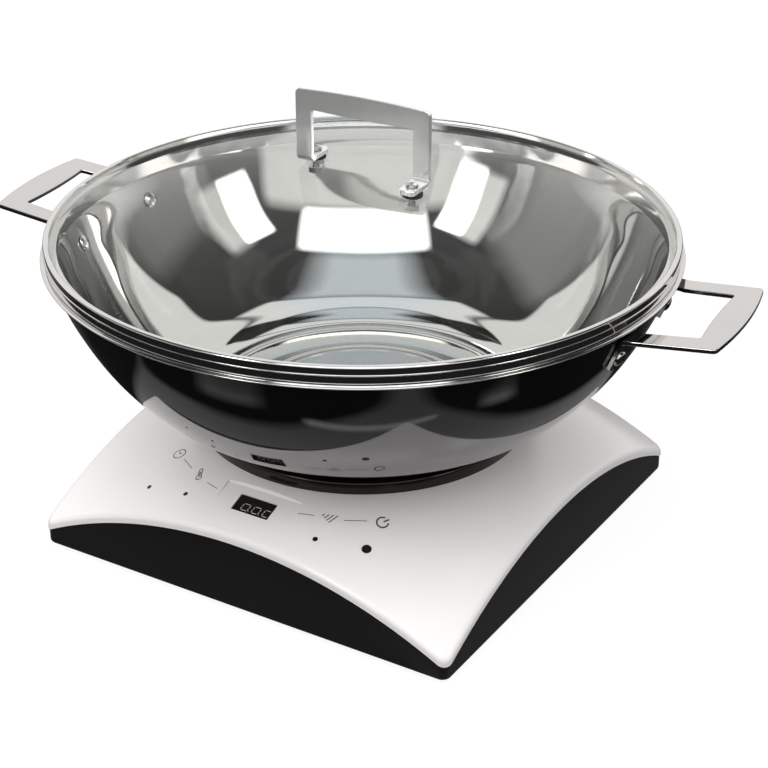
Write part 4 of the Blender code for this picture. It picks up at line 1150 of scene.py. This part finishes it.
def bow_pairs(outer, inner, steps):
    """Outer and inner points of half a bow, round its corner and along its bar to the middle.
    Each side is given by its reach, its half width, its corner's radius and the bulge of its bar."""
    lines = []
    for reach, half, corner, bulge in (outer, inner):
        line = arc((reach - corner, half - corner), corner, 90, 0, 10)
        for step in range(steps - 1, -1, -1):
            share = step / steps
            line.append((reach + bulge * (1 - share**2), (half - corner) * share))
        lines.append(line)
    return zip(*lines)


def handle_half():
    """Stations of half a side handle, from its tab to the middle of its grip, in the handle's own frame."""
    stations = []
    radial = Vector((math.cos(TAB_ANGLE), math.sin(TAB_ANGLE), 0.0))
    sideways = Vector((-math.sin(TAB_ANGLE), math.cos(TAB_ANGLE), 0.0))
    foot_trims = (0.0028, 0.0015, 0.0006, 0.0001)
    for i, (point, normal) in enumerate(tab_section()):
        half = sideways * (TAB_WIDTH / 2 - (foot_trims[i] if i < len(foot_trims) else 0.0))
        centre = radial * point.x + Vector((0.0, 0.0, point.y))
        away = radial * normal.x + Vector((0.0, 0.0, normal.y))
        stations.append(bar_corners(centre + half, centre - half, away))
    plate_angle = math.atan(HANDLE_SLOPE)
    down = (math.sin(plate_angle), 0.0, -math.cos(plate_angle))
    arm_start = ((ARM_START, HANDLE_ROOT_HALF), (ARM_START, ROOT_INNER_HALF))
    outer = (HANDLE_REACH, HANDLE_HALF, GRIP_CORNER, GRIP_BULGE)
    inner = (GRIP_INNER, GRIP_INNER_HALF, GRIP_INNER_CORNER, -GRIP_INNER_BULGE)
    for pair in (arm_start, *bow_pairs(outer, inner, 12)):
        stations.append(bar_corners(*(Vector((u, v, handle_top_z(u))) for u, v in pair), down))
    return stations


def plate_steel(name, colour, roughness, metallic=1.0):
    """Polished steel plate: a soft mirror with a very fine grain, duller and marked a little by use."""
    look, shader, place = principled(name, colour, roughness, Metallic=metallic)
    grain = place.noise(600.0, 4.0)
    cloud = place.noise(38.0, 2.0)
    feed(shader, cloud.mixed([0.93 * part for part in colour], colour), "Base Color")
    feed(shader, cloud * 0.05 + grain * 0.03 + (roughness - 0.04), "Roughness")
    feed_bump(shader, cloud + grain * 0.02, 0.5, 0.0002)
    return look


def ease_edges(plate, width):
    """Takes the sharpness off a plate's edges."""
    edges = plate.modifiers.new("edges", "BEVEL")
    edges.width = width
    edges.segments = 2
    edges.limit_method = "ANGLE"
    edges.angle_limit = math.radians(50)


handle_look = plate_steel("handle_steel", (0.70, 0.685, 0.67), 0.10)
half = handle_half()
mirrored = [[Vector((p.x, -p.y, p.z)) for p in station] for station in reversed(half[:-1])]
for side, side_name in enumerate(("right", "left")):
    turn = Matrix.Rotation(HANDLE_TURN + side * math.pi, 4, "Z")
    rings = [[turn @ point for point in station] for station in half + mirrored]
    handle = lofted(f"handle_{side_name}", rings, handle_look)
    combine(handle, rivet_pins(0.0, 0.008, (side,), handle_look), "DIFFERENCE")
    ease_edges(handle, 0.00035)
    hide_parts(f"wok_handle_{side_name}")
    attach(handle, "wok")


# Rivets: two hold each handle. Each has a domed head inside the bowl and a set head on the tab,
# and all four are copies of one, placed square to the wall by a tree of Geometry Nodes.

def rivet_ring(size):
    """Four copies of the rivet, two on each side of the wok, each square to the wall."""
    points = size["Count"].node("GeometryNodeMeshLine", inputs={"Count": size["Count"]})
    index = points.node("GeometryNodeInputIndex")
    side = points.maths("FLOOR", index * 0.5 + 0.01)
    hand = 1.0 - 2.0 * (index - side * 2.0)
    heading = size["Handle turn"] + side * math.pi + hand * size["Rivet angle"]
    across = points.maths("COSINE", heading)
    along = points.maths("SINE", heading)
    place = points.joined(across * size["Radius"], along * size["Radius"], size["Height"])
    normal = points.joined(across * size["Normal out"], along * size["Normal out"], size["Normal up"])
    moved = points.node("GeometryNodeSetPosition", inputs={"Geometry": points, "Position": place})
    turn = points.node("FunctionNodeAlignRotationToVector", {"axis": "Z"}, {"Vector": normal})
    shape = points.node("GeometryNodeObjectInfo", inputs={"Object": size["Piece"]}, output="Geometry")
    copies = {"Points": moved, "Instance": shape, "Rotation": turn}
    return points.node("GeometryNodeInstanceOnPoints", inputs=copies)


def domed(head, base, way=1):
    """The profile of a domed head from its rim to its top, for a head given as (radius, height)."""
    radius, height = head
    angles = [math.pi / 16 * i for i in range(8, 0, -1)]
    line = [(radius * math.sin(a), base + way * height * math.cos(a)) for a in angles]
    return [*line, (0.0, base + way * height)]


RIVET_RADIUS = 0.0026
INNER_HEAD = (0.0050, 0.0022)
OUTER_HEAD = (0.0044, 0.0021)
rivet_look = plate_steel("rivet_steel", (0.68, 0.67, 0.66), 0.12)
inner_seat = -WOK_WALL - 0.0003
outer_seat = HANDLE_PLATE + 0.0004
rivet_profile = [*reversed(domed(INNER_HEAD, inner_seat, -1)), (RIVET_RADIUS, inner_seat)]
rivet_profile += [(RIVET_RADIUS, outer_seat), *domed(OUTER_HEAD, outer_seat)]
one_rivet = turned("one_rivet", rivet_profile, rivet_look, 32)
rivets = grown("rivets", rivet_ring, {
    "Piece": one_rivet, "Material": rivet_look, "Count": 4,
    "Handle turn": HANDLE_TURN, "Rivet angle": RIVET_ANGLE,
    "Radius": wall_radius(RIVET_Z), "Height": RIVET_Z,
    "Normal out": WALL_NORMAL.x, "Normal up": WALL_NORMAL.y,
})
bpy.data.objects.remove(one_rivet)
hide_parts(*[f"wok_rivet_{i + 1}" for i in range(4)])
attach(rivets, "wok")


# Lid glass: a shallow dome pressed in clear tempered glass, its edge ground round, with two holes
# for the handle's screws. Its look mixes a clear part with a mirror that grows towards a grazing view.

LID_SPHERE = 0.500
LID_APEX_Z = 0.2155
LID_GLASS_THICKNESS = 0.004
LID_GLASS_RADIUS = 0.1750
LID_HANDLE_TURN = math.radians(3.0)
LID_SCREW = (0.0372, 0.0120)
LID_HOLE = 0.0028


def lid_z(radius, thickness=0.0):
    """Height of the lid's dome, at its top or at a depth below it."""
    return LID_APEX_Z - LID_SPHERE + math.sqrt((LID_SPHERE - thickness)**2 - radius**2)


def clear_glass():
    """Clear glass: what is behind it shows through, and it mirrors more towards a grazing view."""
    look, shader, place = principled("lid_clear", (0.93, 0.95, 0.945), 0.02, **METAL)
    wave = place.noise(14.0, 1.0)
    feed_bump(shader, wave, 0.10, 0.0004)
    feed(shader, wave * 0.01 + 0.01, "Roughness")
    clear = place.node("ShaderNodeBsdfTransparent", inputs={"Color": (0.98, 0.985, 0.978, 1.0)})
    inner_face = place.node("ShaderNodeNewGeometry", output="Backfacing")
    share = place.node("ShaderNodeFresnel", inputs={"IOR": 1.26}) * (1.0 - inner_face)
    mirror = Link(place.tree, shader.outputs[0])
    both = place.node("ShaderNodeMixShader", inputs={0: share, 1: clear, 2: mirror})
    feed(look.node_tree.nodes["Material Output"], both, "Surface")
    return look


glass_look = clear_glass()
radii = [LID_GLASS_RADIUS * math.sin(math.pi / 2 * i / 40) for i in range(40)]
under_edge_z = lid_z(LID_GLASS_RADIUS, LID_GLASS_THICKNESS)
glass_profile = [(radius, lid_z(radius)) for radius in radii]
glass_profile.append((LID_GLASS_RADIUS, lid_z(LID_GLASS_RADIUS) - 0.0006))
glass_profile.append((LID_GLASS_RADIUS, under_edge_z + 0.0006))
glass_profile += [(radius, lid_z(radius, LID_GLASS_THICKNESS)) for radius in reversed(radii)]
glass = turned("lid_pane", glass_profile, glass_look, 256, sharp=60)
turn = Matrix.Rotation(LID_HANDLE_TURN, 4, "Z")
SCREW_PLACES = {
    "right": (turn @ Vector((LID_SCREW[0], -LID_SCREW[1], 0.0))).xy,
    "left": (turn @ Vector((-LID_SCREW[0], LID_SCREW[1], 0.0))).xy,
}
combine(glass, pins(LID_HOLE, 0.200, 0.225, SCREW_PLACES.values(), glass_look), "DIFFERENCE", sharp=60)
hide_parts("lid_glass")
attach(glass, "lid")


# Lid ring: a rolled band of bright steel, crimped round the glass's edge. It has a bead along its top,
# a thin bead round its straight side and a foot that goes down inside the wok's rim.

bright_look = polished_steel("ring_bright", (0.78, 0.77, 0.76), 0.07, 2400.0)
BAND_TOP_Z = 0.1856
BAND_RADIUS = 0.1784
BAND_FOOT = (0.1736, 0.1712)
BAND_FOOT_INSIDE = 0.1722
BAND_LEDGE = 0.1712
BEAD_Z = 0.1807
BEAD_RADIUS = 0.0005
seat = WOK_RIM_Z + GAP
glass_gap = LID_GLASS_RADIUS + GAP
lid_ring_profile = [
    (glass_gap, BAND_TOP_Z - 0.0004),
    (glass_gap + 0.0004, BAND_TOP_Z),
    (BAND_RADIUS - 0.0016, BAND_TOP_Z),
    *arc((BAND_RADIUS - 0.0013, BAND_TOP_Z - 0.0013), 0.0013, 80, 0, 8),
    (BAND_RADIUS, BAND_TOP_Z - 0.0018),
    (BAND_RADIUS - 0.0001, BEAD_Z + BEAD_RADIUS),
    *arc((BAND_RADIUS - 0.0002, BEAD_Z), BEAD_RADIUS, 50, -50, 6),
    (BAND_RADIUS - 0.0003, BEAD_Z - BEAD_RADIUS),
    (BAND_RADIUS - 0.0004, BEAD_Z - 2 * BEAD_RADIUS),
    (BAND_RADIUS - 0.0004, seat + 0.0012),
    *arc((BAND_RADIUS - 0.0008, seat + 0.0004), 0.0004, 0, -80, 4),
    (0.1738, seat),
    BAND_FOOT,
    (BAND_FOOT_INSIDE, BAND_FOOT[1]),
    (BAND_LEDGE, lid_z(BAND_LEDGE, LID_GLASS_THICKNESS) - GAP),
    (glass_gap, under_edge_z - GAP),
]
lid_ring = turned("lid_band", lid_ring_profile, bright_look, 256)
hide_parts("lid_ring")
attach(lid_ring, "lid")


# Lid handle: a bow cut from 3 mm plate, its two feet bent level in opposite directions,
# one to the front and one to the back, each with a hole for its screw.

LID_HANDLE_HALF = 0.042
LID_HANDLE_TOP_Z = 0.2592
LID_HANDLE_PLATE = 0.003
LID_HANDLE_BULGE = 0.00125
LID_LEG_WIDTH = 0.010
LID_BAR_HEIGHT = 0.0115
LID_CORNER = 0.0028
LID_INNER_CORNER = 0.0022
LID_FOOT_Z = 0.2162
LID_FOOT_LENGTH = 0.0195
LID_BOW_HOLE = 0.0024
foot_top = LID_FOOT_Z + LID_HANDLE_PLATE


def bow_half():
    """Stations of half the bow, from the end of its foot to the middle of its bar."""
    rings = []
    half_plate = LID_HANDLE_PLATE / 2
    bend = 0.0015
    leg_inner = LID_HANDLE_HALF - LID_LEG_WIDTH
    centre = (-half_plate - bend, foot_top + bend)

    def station(outer, inner, front, back):
        """Outer and inner are (x, z); front and back are the (y, z) shifts of the plate's two faces."""
        corners = ((outer, front), (inner, front), (inner, back), (outer, back))
        rings.append([(spot[0], face[0], spot[1] + face[1]) for spot, face in corners])

    trims = ((0.0, 0.0026), (0.0004, 0.0014), (0.0012, 0.0005), (0.0024, 0.0))
    for along, trim in trims:
        y = -LID_FOOT_LENGTH + along
        station((LID_HANDLE_HALF - trim, 0.0), (leg_inner + trim, 0.0), (y, foot_top), (y, LID_FOOT_Z))
    for step in range(9):
        angle = math.pi / 2 * step / 8
        front = (centre[0] + bend * math.sin(angle), centre[1] - bend * math.cos(angle))
        thick = bend + LID_HANDLE_PLATE
        back = (centre[0] + thick * math.sin(angle), centre[1] - thick * math.cos(angle))
        station((LID_HANDLE_HALF, 0.0), (leg_inner, 0.0), front, back)
    bar_low = LID_HANDLE_TOP_Z - LID_BAR_HEIGHT
    outer = (LID_HANDLE_TOP_Z, LID_HANDLE_HALF, LID_CORNER, LID_HANDLE_BULGE)
    inner = (bar_low, leg_inner, LID_INNER_CORNER, -0.0006)
    for (outer_z, outer_x), (inner_z, inner_x) in bow_pairs(outer, inner, 10):
        station((outer_x, outer_z), (inner_x, inner_z), (-half_plate, 0.0), (half_plate, 0.0))
    return rings


rings = bow_half()
half_turn = Matrix.Rotation(math.pi, 4, "Z")
other = []
for ring in reversed(rings[:-1]):
    back_half = [half_turn @ Vector(point) for point in ring]
    other.append([back_half[3], back_half[2], back_half[1], back_half[0]])
all_rings = [[turn @ Vector(point) for point in ring] for ring in rings + other]
bow_look = plate_steel("bow_steel", (0.86, 0.855, 0.845), 0.16, 0.74)
bow = lofted("lid_bow", all_rings, bow_look)
combine(bow, pins(LID_BOW_HOLE, 0.210, 0.2225, SCREW_PLACES.values(), bow_look), "DIFFERENCE")
ease_edges(bow, 0.0004)
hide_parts("lid_handle")
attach(bow, "lid")


# Lid screws and nuts: a pan-head screw with a cross recess goes through each foot, its spacer and the
# glass, and a hexagon nut holds it underneath. The nuts keep their CAD shapes.

SCREW_HEAD = (0.0036, 0.0012)
SCREW_RIM = 0.0006
SCREW_RADIUS = 0.0020
SCREW_END_Z = 0.2050
RECESS = (0.0034, 0.0007, 0.0016)
head = foot_top + GAP
screw_profile = [*reversed(domed(SCREW_HEAD, head + SCREW_RIM)), (SCREW_HEAD[0], head), (SCREW_RADIUS, head)]
screw_profile += [(SCREW_RADIUS, SCREW_END_Z + 0.0002), (SCREW_RADIUS - 0.0003, SCREW_END_Z)]
screw_profile.append((0.0, SCREW_END_Z))
for side, place in SCREW_PLACES.items():
    spot = Matrix.Translation((*place, 0.0))
    screw = turned(f"bow_screw_{side}", screw_profile, screw_look, 40, spot)
    cross = []
    for quarter in (0.6, 0.6 + math.pi / 2):
        turned_spot = spot @ Matrix.Translation((0.0, 0.0, head + 0.0016)) @ Matrix.Rotation(quarter, 4, "Z")
        cross.append(block("recess", RECESS, turned_spot, screw_look))
    combine(screw, cross, "DIFFERENCE")
    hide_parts(f"lid_screw_{side}")
    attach(screw, "lid")
dress(screw_look, "lid_nut_right", "lid_nut_left")
